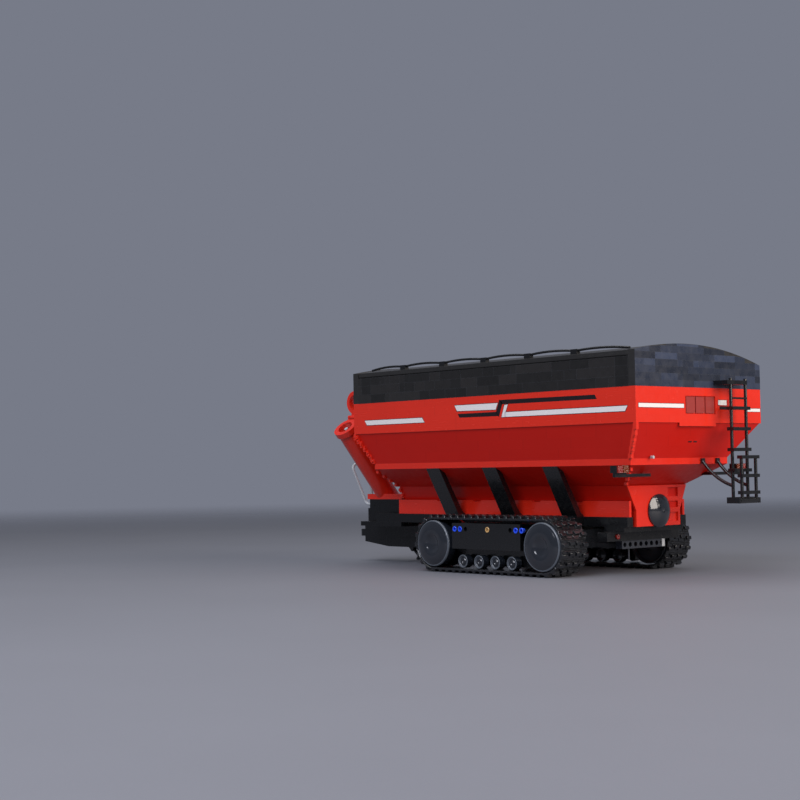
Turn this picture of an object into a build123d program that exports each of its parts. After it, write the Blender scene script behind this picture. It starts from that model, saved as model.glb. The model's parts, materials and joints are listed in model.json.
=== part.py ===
from build123d import *
import os
from math import cos, degrees, pi, radians, sin, sqrt

# Tracked grain cart, built as a scale model at about 1 : 17.5.
# +X points forward to the hitch, +Y to the cart's left, +Z up, in millimetres.
# Lengths along the cart are given as stations: distances forward of the hopper's rear face.
# The origin lies on the ground, midway between the ladder and the tip of the drawbar.

os.makedirs("parts", exist_ok=True)

# ---- Fits and general sizes -------------------------------------------------------------
MODULE = 8.0              # pitch of the building system's pin holes
PIN_RADIUS = 2.4
RUN = 0.05                # radial clearance of every shaft in its bearing
GAP = 0.3                 # clearance between pieces that move past each other
BAR_RADIUS = 1.6          # thin bars: ladder rails, hinge pins, struts

# ---- Hopper -----------------------------------------------------------------------------
hopper_length = 406.0
hopper_half_width = 94.4
band_top = 180.0
band_bottom = 146.6
band_wall = 4.0
band_lip = 1.2            # how far the band stands proud of the slope below it
ridge_top = 113.5
ridge_height = 6.0
ridge_wall = 4.0
ridge_inset = 18.9        # the ridge lies this far inside the hopper's two ends
ridge_left = 81.2
ridge_right = 63.6
slope_wall = 3.5
shoulder_top = 87.5
shoulder_rear = 56.5
shoulder_left = 45.5
shoulder_right = 43.3
shell_wall = 5.0
knee_height = 63.5
sump_half_width = 33.0
sump_bottom = 48.0
sump_wall = 4.0
sump_floor = 3.0
skirt_top = 73.0
skirt_face = 41.5
skirt_wall = 3.0
panel_wall = 2.0

# ---- Roof -------------------------------------------------------------------------------
cap_wall = 8.0
cap_left = 213.7
cap_right = 204.1
cap_peak = 221.2
cap_peak_y = 25.0
cover_drop = 0.5          # the cover lies this much lower than the caps' arch
cover_skin = 2.6
board_left_top = 208.0
board_right_top = 198.4
cover_pivot_y = hopper_half_width - 2.0
clip_count = 5
clip_pitch = 62.0
first_clip = 78.4
clip_y = hopper_half_width - 5.9
hose_radius = 1.2

# ---- Running gear -----------------------------------------------------------------------
bogie_station = 198.7
idler_spacing = 156.1
pivot_offset = -3.2       # the walking pivot lies this far ahead of the bogie's middle
pivot_height = 45.0
axle_radius = 3.0
track_radius = 29.6
grouser_height = 2.6
belt_base = 2.2
track_inner = 60.8
track_outer = 96.2
grouser_count = 48
grouser_length = 4.2
idler_radius = 24.2
idler_axle = 4.0
spine_y = 79.0
spine_wall = 8.0
plate_length = 98.0
plate_bottom = 25.0
plate_top = 51.0
plate_wall = 4.0
outer_plate_face = 96.0
inner_plate_face = 62.0
wheel_count = 4
wheel_pitch = 23.4
wheel_radius = 6.8
wheel_height = 12.2
wheel_rim = 9.0

# ---- Frame ------------------------------------------------------------------------------
rail_inner = 36.0
rail_outer = 44.0
rail_top = 57.5
rail_front = 430.0
deck_wall = 5.0
deck_front = 458.0
axle_beam_width = 16.0
axle_beam_height = 8.0
axle_beam_reach = 56.0
tongue_half_width = 12.0
tongue_front = 489.0
tongue_rear = 392.0
tongue_depth_rear = 25.0
tongue_depth_front = 20.0
holder_station = 480.0
holder_top = 62.0
holder_y = 8.8
holder_size = 6.0
eye_reach = 9.0           # from the tongue's end to the middle of the hitch hole
eye_wall = 8.0
eye_half_width = 8.0
eye_height = 33.0
rear_beam_station = 80.0
rear_beam_depth = 12.0
rear_beam_height = 9.0
rear_beam_reach = 54.0
rib_count = 3
rib_pitch = 85.0
first_rib = 122.5
rib_width = 20.0
rib_wall = 6.0
rib_foot = 54.0
jack_station = 433.0
jack_pin_height = 30.0
jack_reach = 38.0
jack_bar = 2.4
jack_tilt = 41.0          # below horizontal, in degrees
jack_slot = 5.6           # half the width of the slot in the drawbar that the jack folds into

# ---- Augers -----------------------------------------------------------------------------
boot_half_width = 30.0
boot_top = 73.0
base_plate_wall = 6.0
base_plate_rear = 402.0
tube_radius = 12.0
tube_bore = 8.6
flange_radius = 14.0
folded_flange_radius = 12.9
flange_wall = 6.0
foot_station = 441.0      # where the lower auger's axis leaves its base plate
foot_y = 18.0
flange_station = 436.0    # middle of the lower auger's top flange
flange_y = 83.0
flange_height = 155.6
hinge_offset = 17.0       # from the auger's axis to the folding hinge
hinge_pin = 1.2
fold_angle = 130.8
upper_length = 118.0
flight_radius = 8.0
flight_wall = 1.2
flight_pitch = 14.0
flight_tilt = 15.0
screw_shaft = 2.2
sump_screw_height = 61.0
sump_flight = 9.0
pto_reach = 14.0

# ---- Rear fittings ----------------------------------------------------------------------
ladder_stand_off = 15.0
ladder_y = -38.5
ladder_half_gauge = 11.5
ladder_top = 189.0
ladder_bottom = 70.0
lowest_rung = 72.0
second_rung = 99.3
rung_half_width = 13.6
fold_pivot_half = 16.5
rung_depth = 8.0
rung_wall = 3.2
rung_pitch = 19.8
brace_height = 169.0
fold_stand_off = 25.0
fold_top = 115.0
fold_pivot_stand_off = 23.5
fold_pivot_height = 72.0
dish_radius = 16.2
dish_height = 62.7
lamp_station = 22.0
lamp_inner = 81.6
lamp_outer = 97.4
lamp_bottom = 100.4
lamp_top = 107.2
window_half_width = 22.7
window_bottom = 155.0
window_top = 172.0
window_recess = 2.0
window_panes_count = 3
mullion = 1.6

# ---- Stations to positions --------------------------------------------------------------
eye_station = tongue_front + eye_reach
cart_front = eye_station + eye_half_width
cart_rear = -(fold_stand_off + rung_depth / 2 - 1.0)
MIDDLE = (cart_front + cart_rear) / 2


def at(station):
    """The X position of a station along the cart."""
    return station - MIDDLE


def finish(piece, name):
    """Labels a finished piece and writes its STEP file."""
    piece.label = name
    export_step(piece, f"parts/{name}.step")


def across(station):
    """A plane across the cart, with local axes Y and Z, facing forward."""
    return Plane(origin=(at(station), 0, 0), x_dir=(0, 1, 0), z_dir=(1, 0, 0))


def lengthwise(y):
    """A plane along the cart, with local axes X and Z, facing left."""
    return Plane(origin=(0, y, 0), x_dir=(-1, 0, 0), z_dir=(0, 1, 0))


def block(rear, front, right, left, bottom, top):
    """A plain block between two stations, two sides and two heights."""
    with BuildPart(mode=Mode.PRIVATE) as piece:
        with BuildSketch(Plane.XY.offset(bottom)):
            with Locations((at((rear + front) / 2), (right + left) / 2)):
                Rectangle(front - rear, left - right)
        extrude(amount=top - bottom)
    return piece.part


def level(rear, front, right, left, height):
    """The outline of the hopper's outside at one height."""
    return (at(rear), at(front), -right, left, height)


band_high = level(0, hopper_length, hopper_half_width, hopper_half_width, band_top)
band_low = level(0, hopper_length, hopper_half_width, hopper_half_width, band_bottom)
slope_high = level(
    band_lip,
    hopper_length - band_lip,
    hopper_half_width - band_lip,
    hopper_half_width - band_lip,
    band_bottom,
)
hopper_front_low = hopper_length - ridge_inset
slope_low = level(ridge_inset, hopper_front_low, ridge_right, ridge_left, ridge_top)
ridge_bottom = ridge_top - ridge_height
ridge_low = level(ridge_inset, hopper_front_low, ridge_right, ridge_left, ridge_bottom)
shoulder = level(shoulder_rear, hopper_front_low, shoulder_right, shoulder_left, shoulder_top)
knee = level(shoulder_rear, hopper_front_low, sump_half_width, sump_half_width, knee_height)
sump_low = level(shoulder_rear, hopper_front_low, sump_half_width, sump_half_width, sump_bottom)


def corners(outline, inset=0.0):
    """The four corners of a level outline, moved inwards by an inset."""
    x0, x1, y0, y1, _ = outline
    low_x, high_x = x0 + inset, x1 - inset
    low_y, high_y = y0 + inset, y1 - inset
    return {"rear_left": (low_x, high_y), "rear_right": (low_x, low_y),
            "front_left": (high_x, high_y), "front_right": (high_x, low_y)}


WALL_ENDS = {"rear": ("rear_left", "rear_right"), "front": ("front_right", "front_left"),
             "left": ("front_left", "rear_left"), "right": ("rear_right", "front_right")}


def hopper_wall(side, low, high, thickness):
    """One wall between two levels, mitred where it meets its neighbours."""
    first, second = WALL_ENDS[side]
    with BuildPart(mode=Mode.PRIVATE) as wall:
        for outline in (low, high):
            outside = corners(outline)
            inside = corners(outline, thickness)
            with BuildSketch(Plane.XY.offset(outline[4])):
                with BuildLine():
                    Polyline(outside[first], outside[second], inside[second], inside[first], close=True)
                make_face()
        loft(ruled=True)
    return wall.part


def frustum(low, high, inset=0.0, extra=0.0):
    """The solid between two levels, for hollows and for trimming what meets the hopper."""
    with BuildPart(mode=Mode.PRIVATE) as solid:
        for outline, grow in ((low, -extra), (high, extra)):
            inner = corners(outline, inset)
            with BuildSketch(Plane.XY.offset(outline[4] + grow)):
                with BuildLine():
                    Polyline(inner["rear_left"], inner["rear_right"], inner["front_right"],
                             inner["front_left"], close=True)
                make_face()
        loft(ruled=True)
    return solid.part


def ring(low, high, thickness):
    """A closed ring of wall between two levels."""
    return frustum(low, high) - frustum(low, high, thickness)


# The hopper's outside as one block: attachments are trimmed with it, so that they seat on it.
envelope = [
    frustum(slope_low, slope_high),
    frustum(ridge_low, slope_low),
    frustum(shoulder, ridge_low),
    frustum(knee, shoulder),
    frustum(sump_low, knee),
]

# ---- Hopper: band -----------------------------------------------------------------------
for side in ("left", "right"):
    finish(hopper_wall(side, band_low, band_high, band_wall), f"band_{side}")

rear_band_blank = hopper_wall("rear", band_low, band_high, band_wall)
apron_drop = 3.3
apron_left = 32.0
with BuildPart() as band_rear:
    add(rear_band_blank)
    with BuildSketch(across(0)):
        with Locations((0, (window_bottom + window_top) / 2)):
            Rectangle(2 * window_half_width, window_top - window_bottom)
    extrude(amount=window_recess, mode=Mode.SUBTRACT)
    # The middle of the rear band hangs a little lower, as an apron in front of the slope.
    with BuildSketch(across(0)):
        with Locations(((apron_left - window_half_width) / 2, band_bottom - apron_drop / 2)):
            Rectangle(apron_left + window_half_width, apron_drop)
    extrude(amount=band_lip)
    add(envelope, mode=Mode.SUBTRACT)
finish(band_rear.part, "band_rear")

pane_width = (2 * window_half_width - 4 * mullion) / window_panes_count
with BuildPart() as window_panes:
    with BuildSketch(across(window_recess)):
        with Locations((0, (window_bottom + window_top) / 2)):
            with GridLocations(pane_width + mullion, 0, window_panes_count, 1):
                Rectangle(pane_width, window_top - window_bottom - mullion)
    extrude(amount=-(window_recess - 0.4))
finish(window_panes.part, "window_panes")

# The front band carries the cradle that the folded upper auger lies in.
auger_lean = sqrt((flange_station - foot_station) ** 2 + (flange_y - foot_y) ** 2
                  + (flange_height - boot_top - base_plate_wall) ** 2)
auger_axis = Vector((flange_station - foot_station) / auger_lean, (flange_y - foot_y) / auger_lean,
                    (flange_height - boot_top - base_plate_wall) / auger_lean)
side_scale = sqrt(auger_axis.Y ** 2 + auger_axis.Z ** 2)
hinge_side = Vector(0, -auger_axis.Z / side_scale, auger_axis.Y / side_scale)
flange_centre = Vector(at(flange_station), flange_y, flange_height)
hinge_centre = flange_centre + hinge_side * hinge_offset
fold_cos = cos(radians(fold_angle))
fold_sin = sin(radians(fold_angle))
folded_axis = auger_axis * fold_cos + hinge_side * fold_sin
folded_side = hinge_side * fold_cos - auger_axis * fold_sin
folded_centre = hinge_centre - folded_side * hinge_offset
cradle_run = 0.78 * upper_length
cradle_point = folded_centre + folded_axis * cradle_run
cradle_width = 8.0
cradle_wall = 4.0
cradle_seat = cradle_point.Z - tube_radius - 3 * GAP

front_band_blank = hopper_wall("front", band_low, band_high, band_wall)
with BuildPart() as band_front:
    add(front_band_blank)
    with BuildSketch(Plane.XY.offset(cradle_seat - cradle_wall)):
        cradle_tip = cradle_point.X + tube_radius + 3 * GAP
        with Locations(((at(hopper_length) + cradle_tip) / 2, cradle_point.Y)):
            Rectangle(cradle_tip - at(hopper_length), cradle_width)
    extrude(amount=cradle_wall)
    with BuildSketch(Plane.XY.offset(cradle_seat - cradle_wall)):
        with Locations((cradle_tip + cradle_wall / 2, cradle_point.Y)):
            Rectangle(cradle_wall, cradle_width)
    extrude(amount=2 * cradle_wall + tube_radius / 2)
finish(band_front.part, "band_front")

# ---- Hopper: slopes, ridge, lower shell and sump -----------------------------------------
for side in WALL_ENDS:
    if side != "rear":
        finish(hopper_wall(side, slope_low, slope_high, slope_wall), f"slope_{side}")

# The rear slope's right-hand part is set back behind a crease that runs down to the ridge.
crease_top_y = -23.5
crease_bottom_y = -6.0
crease_depth = 1.2
rear_slope_blank = hopper_wall("rear", slope_low, slope_high, slope_wall)
slope_run = ridge_inset - band_lip
slope_fall = band_bottom - ridge_top
rear_slope_plane = Plane(
    origin=(at(band_lip), 0, band_bottom),
    x_dir=(0, -1, 0),
    z_dir=(-slope_fall, 0, -slope_run),
)
slope_span = sqrt(slope_run ** 2 + slope_fall ** 2)
slot_width = 6.0
slot_height = 1.6
slot_y = 0.2
slot_drop = 0.53
with BuildPart() as slope_rear:
    add(rear_slope_blank)
    with BuildSketch(rear_slope_plane):
        with BuildLine():
            Polyline((-crease_top_y, 0), (hopper_half_width + band_lip, 0),
                     (hopper_half_width + band_lip, slope_span), (-crease_bottom_y, slope_span), close=True)
        make_face()
    extrude(amount=-crease_depth, mode=Mode.SUBTRACT)
    with BuildSketch(rear_slope_plane):
        with Locations((-slot_y, slot_drop * slope_span)):
            with GridLocations(slot_width + 2, 0, 2, 1):
                Rectangle(slot_width, slot_height)
    extrude(amount=-crease_depth, mode=Mode.SUBTRACT)
finish(slope_rear.part, "slope_rear")

finish(ring(ridge_low, slope_low, ridge_wall), "ridge_rail")

screw_axis = Axis((0, 0, sump_screw_height), (1, 0, 0))
screw_port = sump_flight + 0.6


def drive_bore(radius, rear, front):
    """A round hollow along the sump auger's axis between two stations."""
    with BuildPart(mode=Mode.PRIVATE) as bore:
        with BuildSketch(across(rear)):
            with Locations((0, sump_screw_height)):
                Circle(radius)
        extrude(amount=front - rear)
    return bore.part


lower_ring = ring(shoulder, ridge_low, shell_wall)
throat_ring = ring(knee, shoulder, shell_wall)
front_port = drive_bore(screw_port, hopper_front_low - shell_wall - 1, hopper_front_low + 1)
with BuildPart() as lower_shell:
    add(lower_ring)
    add(throat_ring)
    add(front_port, mode=Mode.SUBTRACT)
finish(lower_shell.part, "lower_shell")

sump_blank = frustum(sump_low, knee)
with BuildPart() as sump_trough:
    add(sump_blank)
    with BuildSketch(Plane.XY.offset(sump_bottom + sump_floor)):
        with Locations((at((shoulder_rear + hopper_front_low) / 2), 0)):
            Rectangle(hopper_front_low - shoulder_rear - 2 * sump_wall, 2 * (sump_half_width - sump_wall))
    extrude(amount=knee_height, mode=Mode.SUBTRACT)
    add(front_port, mode=Mode.SUBTRACT)
    # The sump auger's rear bearing.
    with BuildSketch(across(shoulder_rear)):
        with Locations((0, sump_screw_height)):
            Circle(screw_shaft + RUN)
    extrude(amount=sump_wall, mode=Mode.SUBTRACT)
finish(sump_trough.part, "sump_trough")

skirt_front = hopper_front_low + 6.0
skirt_rear = 56.0
left_skirt = block(skirt_rear, skirt_front, skirt_face - skirt_wall, skirt_face, rail_top, skirt_top)
right_skirt = mirror(left_skirt, about=Plane.XZ)
skirt_notches = [
    block(skirt_rear + step, skirt_rear + step + 11, -skirt_face, skirt_face, skirt_top - 1.4, skirt_top + 1)
    for step in (60, 118, 205, 262)
]
with BuildPart() as sump_skirts:
    add([left_skirt, right_skirt])
    add(skirt_notches, mode=Mode.SUBTRACT)
finish(sump_skirts.part, "sump_skirts")

pocket_left = -15.0
pocket_right = -30.0
pocket_bottom = 52.0
pocket_top = 85.0
pocket_bar = 4.5
with BuildPart() as sump_rear_panel:
    with BuildSketch(across(shoulder_rear)):
        with BuildLine():
            Polyline((shoulder_left, shoulder_top), (sump_half_width, knee_height),
                     (sump_half_width, sump_bottom), (-sump_half_width, sump_bottom),
                     (-sump_half_width, knee_height), (-shoulder_right, shoulder_top), close=True)
        make_face()
        with Locations(((pocket_left + pocket_right) / 2, (pocket_bottom + pocket_top) / 2)):
            Rectangle(pocket_left - pocket_right, pocket_top - pocket_bottom, mode=Mode.SUBTRACT)
            with GridLocations(0, (pocket_top - pocket_bottom) / 3, 1, 2):
                Rectangle(pocket_left - pocket_right, pocket_bar)
        with Locations((0, sump_screw_height)):
            Circle(screw_shaft + RUN, mode=Mode.SUBTRACT)
    extrude(amount=-panel_wall)
finish(sump_rear_panel.part, "sump_rear_panel")

dish_rim = 1.6
dish_bulge = 4.6
dish_back = shoulder_rear - panel_wall
with BuildPart() as bearing_dish:
    with BuildSketch(Plane(origin=(at(dish_back), 0, dish_height), x_dir=(0, 1, 0), z_dir=(0, 0, 1))):
        with BuildLine():
            Polyline((dish_radius, dish_rim), (dish_radius, 0), (0, 0), (0, dish_rim + dish_bulge - 0.7))
            ThreePointArc((0, dish_rim + dish_bulge - 0.7), (1.6, dish_rim + dish_bulge - 0.3),
                          (2.6, dish_rim + dish_bulge - 0.1))
            ThreePointArc((2.6, dish_rim + dish_bulge - 0.1),
                          (0.66 * dish_radius, dish_rim + 0.62 * dish_bulge), (dish_radius, dish_rim))
        make_face()
    revolve(axis=Axis((at(dish_back), 0, dish_height), (1, 0, 0)))
finish(bearing_dish.part, "bearing_dish")

# ---- Stepped corner plates with studs ---------------------------------------------------
STUD_RADIUS = 2.4
STUD_HEIGHT = 1.7
step_block = 6.5
step_count_rear = 6
step_count_front = 7


def corner_points(start, end, count):
    """Evenly spaced points from start to end."""
    return [start + (end - start) * (i / (count - 1)) for i in range(count)]


rear_corner = corner_points(
    Vector(at(band_lip), hopper_half_width - band_lip, band_bottom - step_block / 2),
    Vector(at(ridge_inset), ridge_left, ridge_top + step_block / 2),
    step_count_rear,
)
front_corner = corner_points(
    Vector(at(hopper_length - band_lip), hopper_half_width - band_lip, band_bottom - step_block / 2),
    Vector(at(hopper_front_low), ridge_left, ridge_top + step_block / 2),
    step_count_front,
)
with BuildPart() as corner_steps:
    for point in rear_corner + front_corner:
        with Locations(point):
            Box(3.4, 3.4, step_block, align=(Align.CENTER, Align.CENTER, Align.CENTER))
    for point in front_corner:
        with Locations(point + Vector(0, 1.7, 0)):
            Cylinder(STUD_RADIUS / 2, STUD_HEIGHT, rotation=(90, 0, 0))
    add(envelope, mode=Mode.SUBTRACT)
finish(corner_steps.part, "corner_steps")

# ---- Roof -------------------------------------------------------------------------------
def cap_outline(drop):
    """Draws the roof's arch, lowered by a drop, from left to right."""
    return ThreePointArc((hopper_half_width, cap_left - drop), (cap_peak_y, cap_peak - drop),
                         (-hopper_half_width, cap_right - drop))


cover_left = cap_left - cover_drop
cover_right = cap_right - cover_drop
cover_pivot_height = board_left_top + GAP + cover_skin / 2
pivot_pin = 1.0
pivot_pin_length = 4.0
with BuildPart() as roof_boards:
    with BuildSketch(across(0), across(hopper_length - cap_wall)):
        with BuildLine():
            cap_outline(0)
            Polyline((-hopper_half_width, cap_right), (-hopper_half_width, band_top),
                     (hopper_half_width, band_top), (hopper_half_width, cap_left))
        make_face()
        with Locations((cover_pivot_y, cover_pivot_height)):
            Circle(pivot_pin + RUN, mode=Mode.SUBTRACT)
    extrude(amount=cap_wall)
    left_board = block(cap_wall, hopper_length - cap_wall, hopper_half_width - band_wall,
                       hopper_half_width, band_top, board_left_top)
    right_board = block(cap_wall, hopper_length - cap_wall, -hopper_half_width,
                        -(hopper_half_width - band_wall), band_top, board_right_top)
    add([left_board, right_board])
finish(roof_boards.part, "roof_boards")

cover_rear = cap_wall + GAP
cover_front = hopper_length - cap_wall - GAP
cover_edge = cover_pivot_y + cover_skin / 2
with BuildPart() as roof_cover:
    with BuildSketch(across(cover_rear)):
        with BuildLine():
            cap_outline(cover_drop)
            Line((-hopper_half_width, cover_right), (-hopper_half_width, cover_right - 2 * cover_skin))
            cap_outline(cover_drop + 2 * cover_skin)
            Line((hopper_half_width, cover_left - 2 * cover_skin), (hopper_half_width, cover_left))
        make_face()
        with BuildLine():
            cap_outline(cover_drop + cover_skin)
            Line((-hopper_half_width, cover_right - cover_skin),
                 (-hopper_half_width, cover_right - 3 * cover_skin))
            cap_outline(cover_drop + 3 * cover_skin)
            Line((hopper_half_width, cover_left - 3 * cover_skin), (hopper_half_width, cover_left - cover_skin))
        make_face(mode=Mode.SUBTRACT)
        with Locations((cover_pivot_y, (cover_left - 0.6 + cover_pivot_height) / 2)):
            Rectangle(cover_skin, cover_left - 0.6 - cover_pivot_height)
        with Locations((cover_pivot_y, cover_pivot_height)):
            Circle(cover_skin / 2)
        right_edge = -hopper_half_width + band_wall / 2
        with Locations((right_edge, (cover_right + board_right_top + GAP) / 2)):
            Rectangle(cover_skin, cover_right - board_right_top - GAP)
        with Locations(((cover_edge - hopper_half_width) / 2, band_top)):
            Rectangle(hopper_half_width + cover_edge, 2 * cap_peak, mode=Mode.INTERSECT)
    extrude(amount=cover_front - cover_rear)
    with BuildSketch(across(cover_rear)):
        with Locations((cover_pivot_y, cover_pivot_height)):
            Circle(pivot_pin)
    extrude(amount=-pivot_pin_length)
    with BuildSketch(across(cover_front)):
        with Locations((cover_pivot_y, cover_pivot_height)):
            Circle(pivot_pin)
    extrude(amount=pivot_pin_length)
finish(roof_cover.part, "roof_cover")

clip_stations = [first_clip + i * clip_pitch for i in range(clip_count)]
clip_length = 8.0
clip_width = 5.0
clip_bottom = 213.4
clip_top = 218.8
hose_height = 217.2
def hose_arch(start, rise, end):
    """One length of thin hose that bows upwards between two points on the roof's edge."""
    middle = (start + end) / 2 + Vector(0, 0, rise)
    path = Edge.make_three_point_arc(start, middle, end)
    with BuildPart(mode=Mode.PRIVATE) as hose:
        with BuildSketch(Plane(origin=path @ 0, z_dir=path % 0)):
            Circle(hose_radius)
        sweep(path=path)
    return hose.part


hose_end = 10.5
hose_end_height = 215.9
hose_bounds = [hose_end] + clip_stations + [clip_stations[-1] + 0.86 * clip_pitch]
hose_heights = [hose_end_height] + [hose_height] * clip_count + [hose_end_height]
with BuildPart() as roof_hose_line:
    for number in range(clip_count + 1):
        add(hose_arch(Vector(at(hose_bounds[number]), clip_y, hose_heights[number]), 1.8,
                      Vector(at(hose_bounds[number + 1]), clip_y, hose_heights[number + 1])))
    for station in clip_stations:
        with BuildSketch(Plane.XY.offset(clip_bottom)):
            with Locations((at(station), clip_y)):
                Rectangle(clip_length, clip_width)
        extrude(amount=clip_top - clip_bottom)
    add(roof_cover.part, mode=Mode.SUBTRACT)
finish(roof_hose_line.part, "roof_hose_line")

# ---- Frame ------------------------------------------------------------------------------
left_rail = block(shoulder_rear, rail_front, rail_inner, rail_outer, sump_bottom, rail_top)
with BuildPart() as frame_rails:
    add(left_rail)
    mirror(about=Plane.XZ)
finish(frame_rails.part, "frame_rails")

deck_bottom = sump_bottom - deck_wall
pivot_station = bogie_station + pivot_offset
rear_plate = block(shoulder_rear + 4, rear_beam_station + rear_beam_depth / 2, -rail_outer, rail_outer,
                   deck_bottom, sump_bottom)
middle_plate = block(300, 312, -rail_outer, rail_outer, deck_bottom, sump_bottom)
front_deck = block(hopper_front_low, deck_front, -rail_outer, rail_outer, deck_bottom, sump_bottom)
axle_beam = block(pivot_station - axle_beam_width / 2, pivot_station + axle_beam_width / 2,
                  -axle_beam_reach, axle_beam_reach, sump_bottom - axle_beam_height, sump_bottom)
axle_end = outer_plate_face - plate_wall - GAP
with BuildPart() as cross_members:
    add([rear_plate, middle_plate, front_deck, axle_beam])
    # The round axle that both tracks rock on.
    with BuildSketch(Plane(origin=(at(pivot_station), -axle_end, pivot_height), z_dir=(0, 1, 0))):
        Circle(axle_radius)
    extrude(amount=2 * axle_end)
finish(cross_members.part, "cross_members")

beam_top = deck_bottom
rear_beam = block(rear_beam_station - rear_beam_depth / 2, rear_beam_station + rear_beam_depth / 2,
                  -rear_beam_reach, rear_beam_reach, beam_top - rear_beam_height, beam_top)
hanging_pin = 0.9
hanging_pin_y = 16.0
hanging_pin_length = 11.0
with BuildPart() as rear_crossbeam:
    add(rear_beam)
finish(rear_crossbeam.part, "rear_crossbeam")

arm_holes = 8
arm_left = 30.0
arm_top = beam_top - rear_beam_height
arm_station = rear_beam_station - MODULE / 2
arm_middle_y = arm_left - arm_holes * MODULE / 2
with BuildPart() as perforated_arm:
    with BuildSketch(across(arm_station)):
        with Locations((arm_middle_y, arm_top - MODULE / 2)):
            Rectangle(arm_holes * MODULE, MODULE)
            with GridLocations(MODULE, 0, arm_holes, 1):
                Circle(PIN_RADIUS, mode=Mode.SUBTRACT)
    extrude(amount=MODULE)
    with BuildSketch(Plane.XY.offset(arm_top - MODULE)):
        with Locations((at(rear_beam_station), hanging_pin_y)):
            Circle(hanging_pin)
    extrude(amount=-hanging_pin_length)
finish(perforated_arm.part, "perforated_arm")

tongue_top = deck_bottom
eye_top = eye_height + eye_wall / 2
jack_eye_half = jack_slot - GAP
jack_eye_radius = 3.4
jack_slot_top = jack_pin_height + jack_eye_radius + 2.0
with BuildPart() as drawbar:
    with BuildSketch(lengthwise(-tongue_half_width)):
        with BuildLine():
            Polyline((-at(tongue_rear), tongue_top), (-at(tongue_rear), tongue_top - tongue_depth_rear),
                     (-at(jack_station + 14), tongue_top - tongue_depth_rear),
                     (-at(tongue_front), tongue_top - tongue_depth_front),
                     (-at(tongue_front), tongue_top), close=True)
        make_face()
    extrude(amount=2 * tongue_half_width)
    # Hitch eye: a rounded plate with an upright pin hole.
    with BuildSketch(Plane.XY.offset(eye_top - eye_wall)):
        with Locations((at(tongue_front) + (eye_reach - 2) / 2, 0)):
            Rectangle(eye_reach + 2, 2 * eye_half_width)
        with Locations((at(eye_station), 0)):
            Circle(eye_half_width)
    extrude(amount=eye_wall)
    with BuildSketch(Plane.XY.offset(eye_top)):
        with Locations((at(eye_station), 0)):
            Circle(PIN_RADIUS + RUN)
    extrude(amount=-eye_wall, mode=Mode.SUBTRACT)
    # A slot, open below and behind, with a pin across it for the parking jack.
    with BuildSketch(lengthwise(-jack_slot)):
        with Locations((-at((tongue_rear + jack_station + jack_eye_radius) / 2), jack_slot_top / 2)):
            Rectangle(jack_station + jack_eye_radius + 1.0 - tongue_rear, jack_slot_top)
    extrude(amount=2 * jack_slot, mode=Mode.SUBTRACT)
    with BuildSketch(lengthwise(-tongue_half_width)):
        with Locations((-at(jack_station), jack_pin_height)):
            Circle(BAR_RADIUS)
    extrude(amount=2 * tongue_half_width)
    # Holder for the parked hose.
    with BuildSketch(Plane.XY.offset(tongue_top)):
        with Locations((at(holder_station), holder_y)):
            Rectangle(holder_size, holder_size)
    extrude(amount=holder_top - tongue_top)
finish(drawbar.part, "drawbar")

jack_pivot = Vector(at(jack_station), 0, jack_pin_height)
jack_down = Vector(-cos(radians(jack_tilt)), 0, -sin(radians(jack_tilt)))
jack_plane = Plane(origin=jack_pivot, x_dir=(0, 1, 0), z_dir=jack_down)
foot_half = 4.8
foot_wall = 2.0
with BuildPart() as parking_jack:
    with BuildSketch(Plane(origin=jack_pivot - Vector(0, jack_eye_half, 0), z_dir=(0, 1, 0))):
        Circle(jack_eye_radius)
        Circle(BAR_RADIUS + RUN, mode=Mode.SUBTRACT)
    extrude(amount=2 * jack_eye_half)
    with BuildSketch(jack_plane.offset(jack_eye_radius - 0.6)):
        Rectangle(6.0, 2 * jack_bar)
    extrude(amount=0.55 * jack_reach)
    with BuildSketch(jack_plane.offset(0.5 * jack_reach)):
        Circle(jack_bar - 0.5)
    extrude(amount=0.5 * jack_reach - foot_wall)
    with BuildSketch(jack_plane.offset(jack_reach - foot_wall)):
        Rectangle(2 * foot_half, 2 * jack_bar)
    extrude(amount=foot_wall)
finish(parking_jack.part, "parking_jack")

# ---- Ribs under the ridge ---------------------------------------------------------------
rib_stations = [first_rib + i * rib_pitch for i in range(rib_count)]


def rib_outline(ridge_y):
    """The slanting plank from under the ridge to the foot on the frame rail."""
    top = ridge_bottom
    return [(ridge_y, top), (rib_foot, rail_top + 1), (rib_foot, sump_bottom), (rail_outer, sump_bottom),
            (rail_outer, rail_top + 1), (rib_foot - rib_wall, rail_top + 4), (ridge_y - rib_wall, top)]


with BuildPart() as ribs:
    for station in rib_stations:
        for side, ridge_y in ((1, ridge_left), (-1, ridge_right)):
            with BuildSketch(across(station - rib_width / 2)):
                with BuildLine():
                    Polyline(*[(side * y, z) for y, z in rib_outline(ridge_y)], close=True)
                make_face()
            extrude(amount=rib_width)
    add(envelope, mode=Mode.SUBTRACT)
finish(ribs.part, "ribs")

# ---- Tracks -----------------------------------------------------------------------------
front_idler = bogie_station + idler_spacing / 2
rear_idler = bogie_station - idler_spacing / 2
wheel_stations = [bogie_station + (i - (wheel_count - 1) / 2) * wheel_pitch for i in range(wheel_count)]
plate_middle = (plate_bottom + plate_top) / 2
spine_bottom = 8.0
plate_pin_steps = (-6, -5, 5, 6)
plate_hole_steps = (-4, 4)
tie_size = 8.0
tie_offset = 20.0


def bogie_sketch_plane(y):
    """A plane along the cart whose origin lies at the bogie's middle, on the ground."""
    return Plane(origin=(at(bogie_station), y, 0), x_dir=(-1, 0, 0), z_dir=(0, 1, 0))


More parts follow.
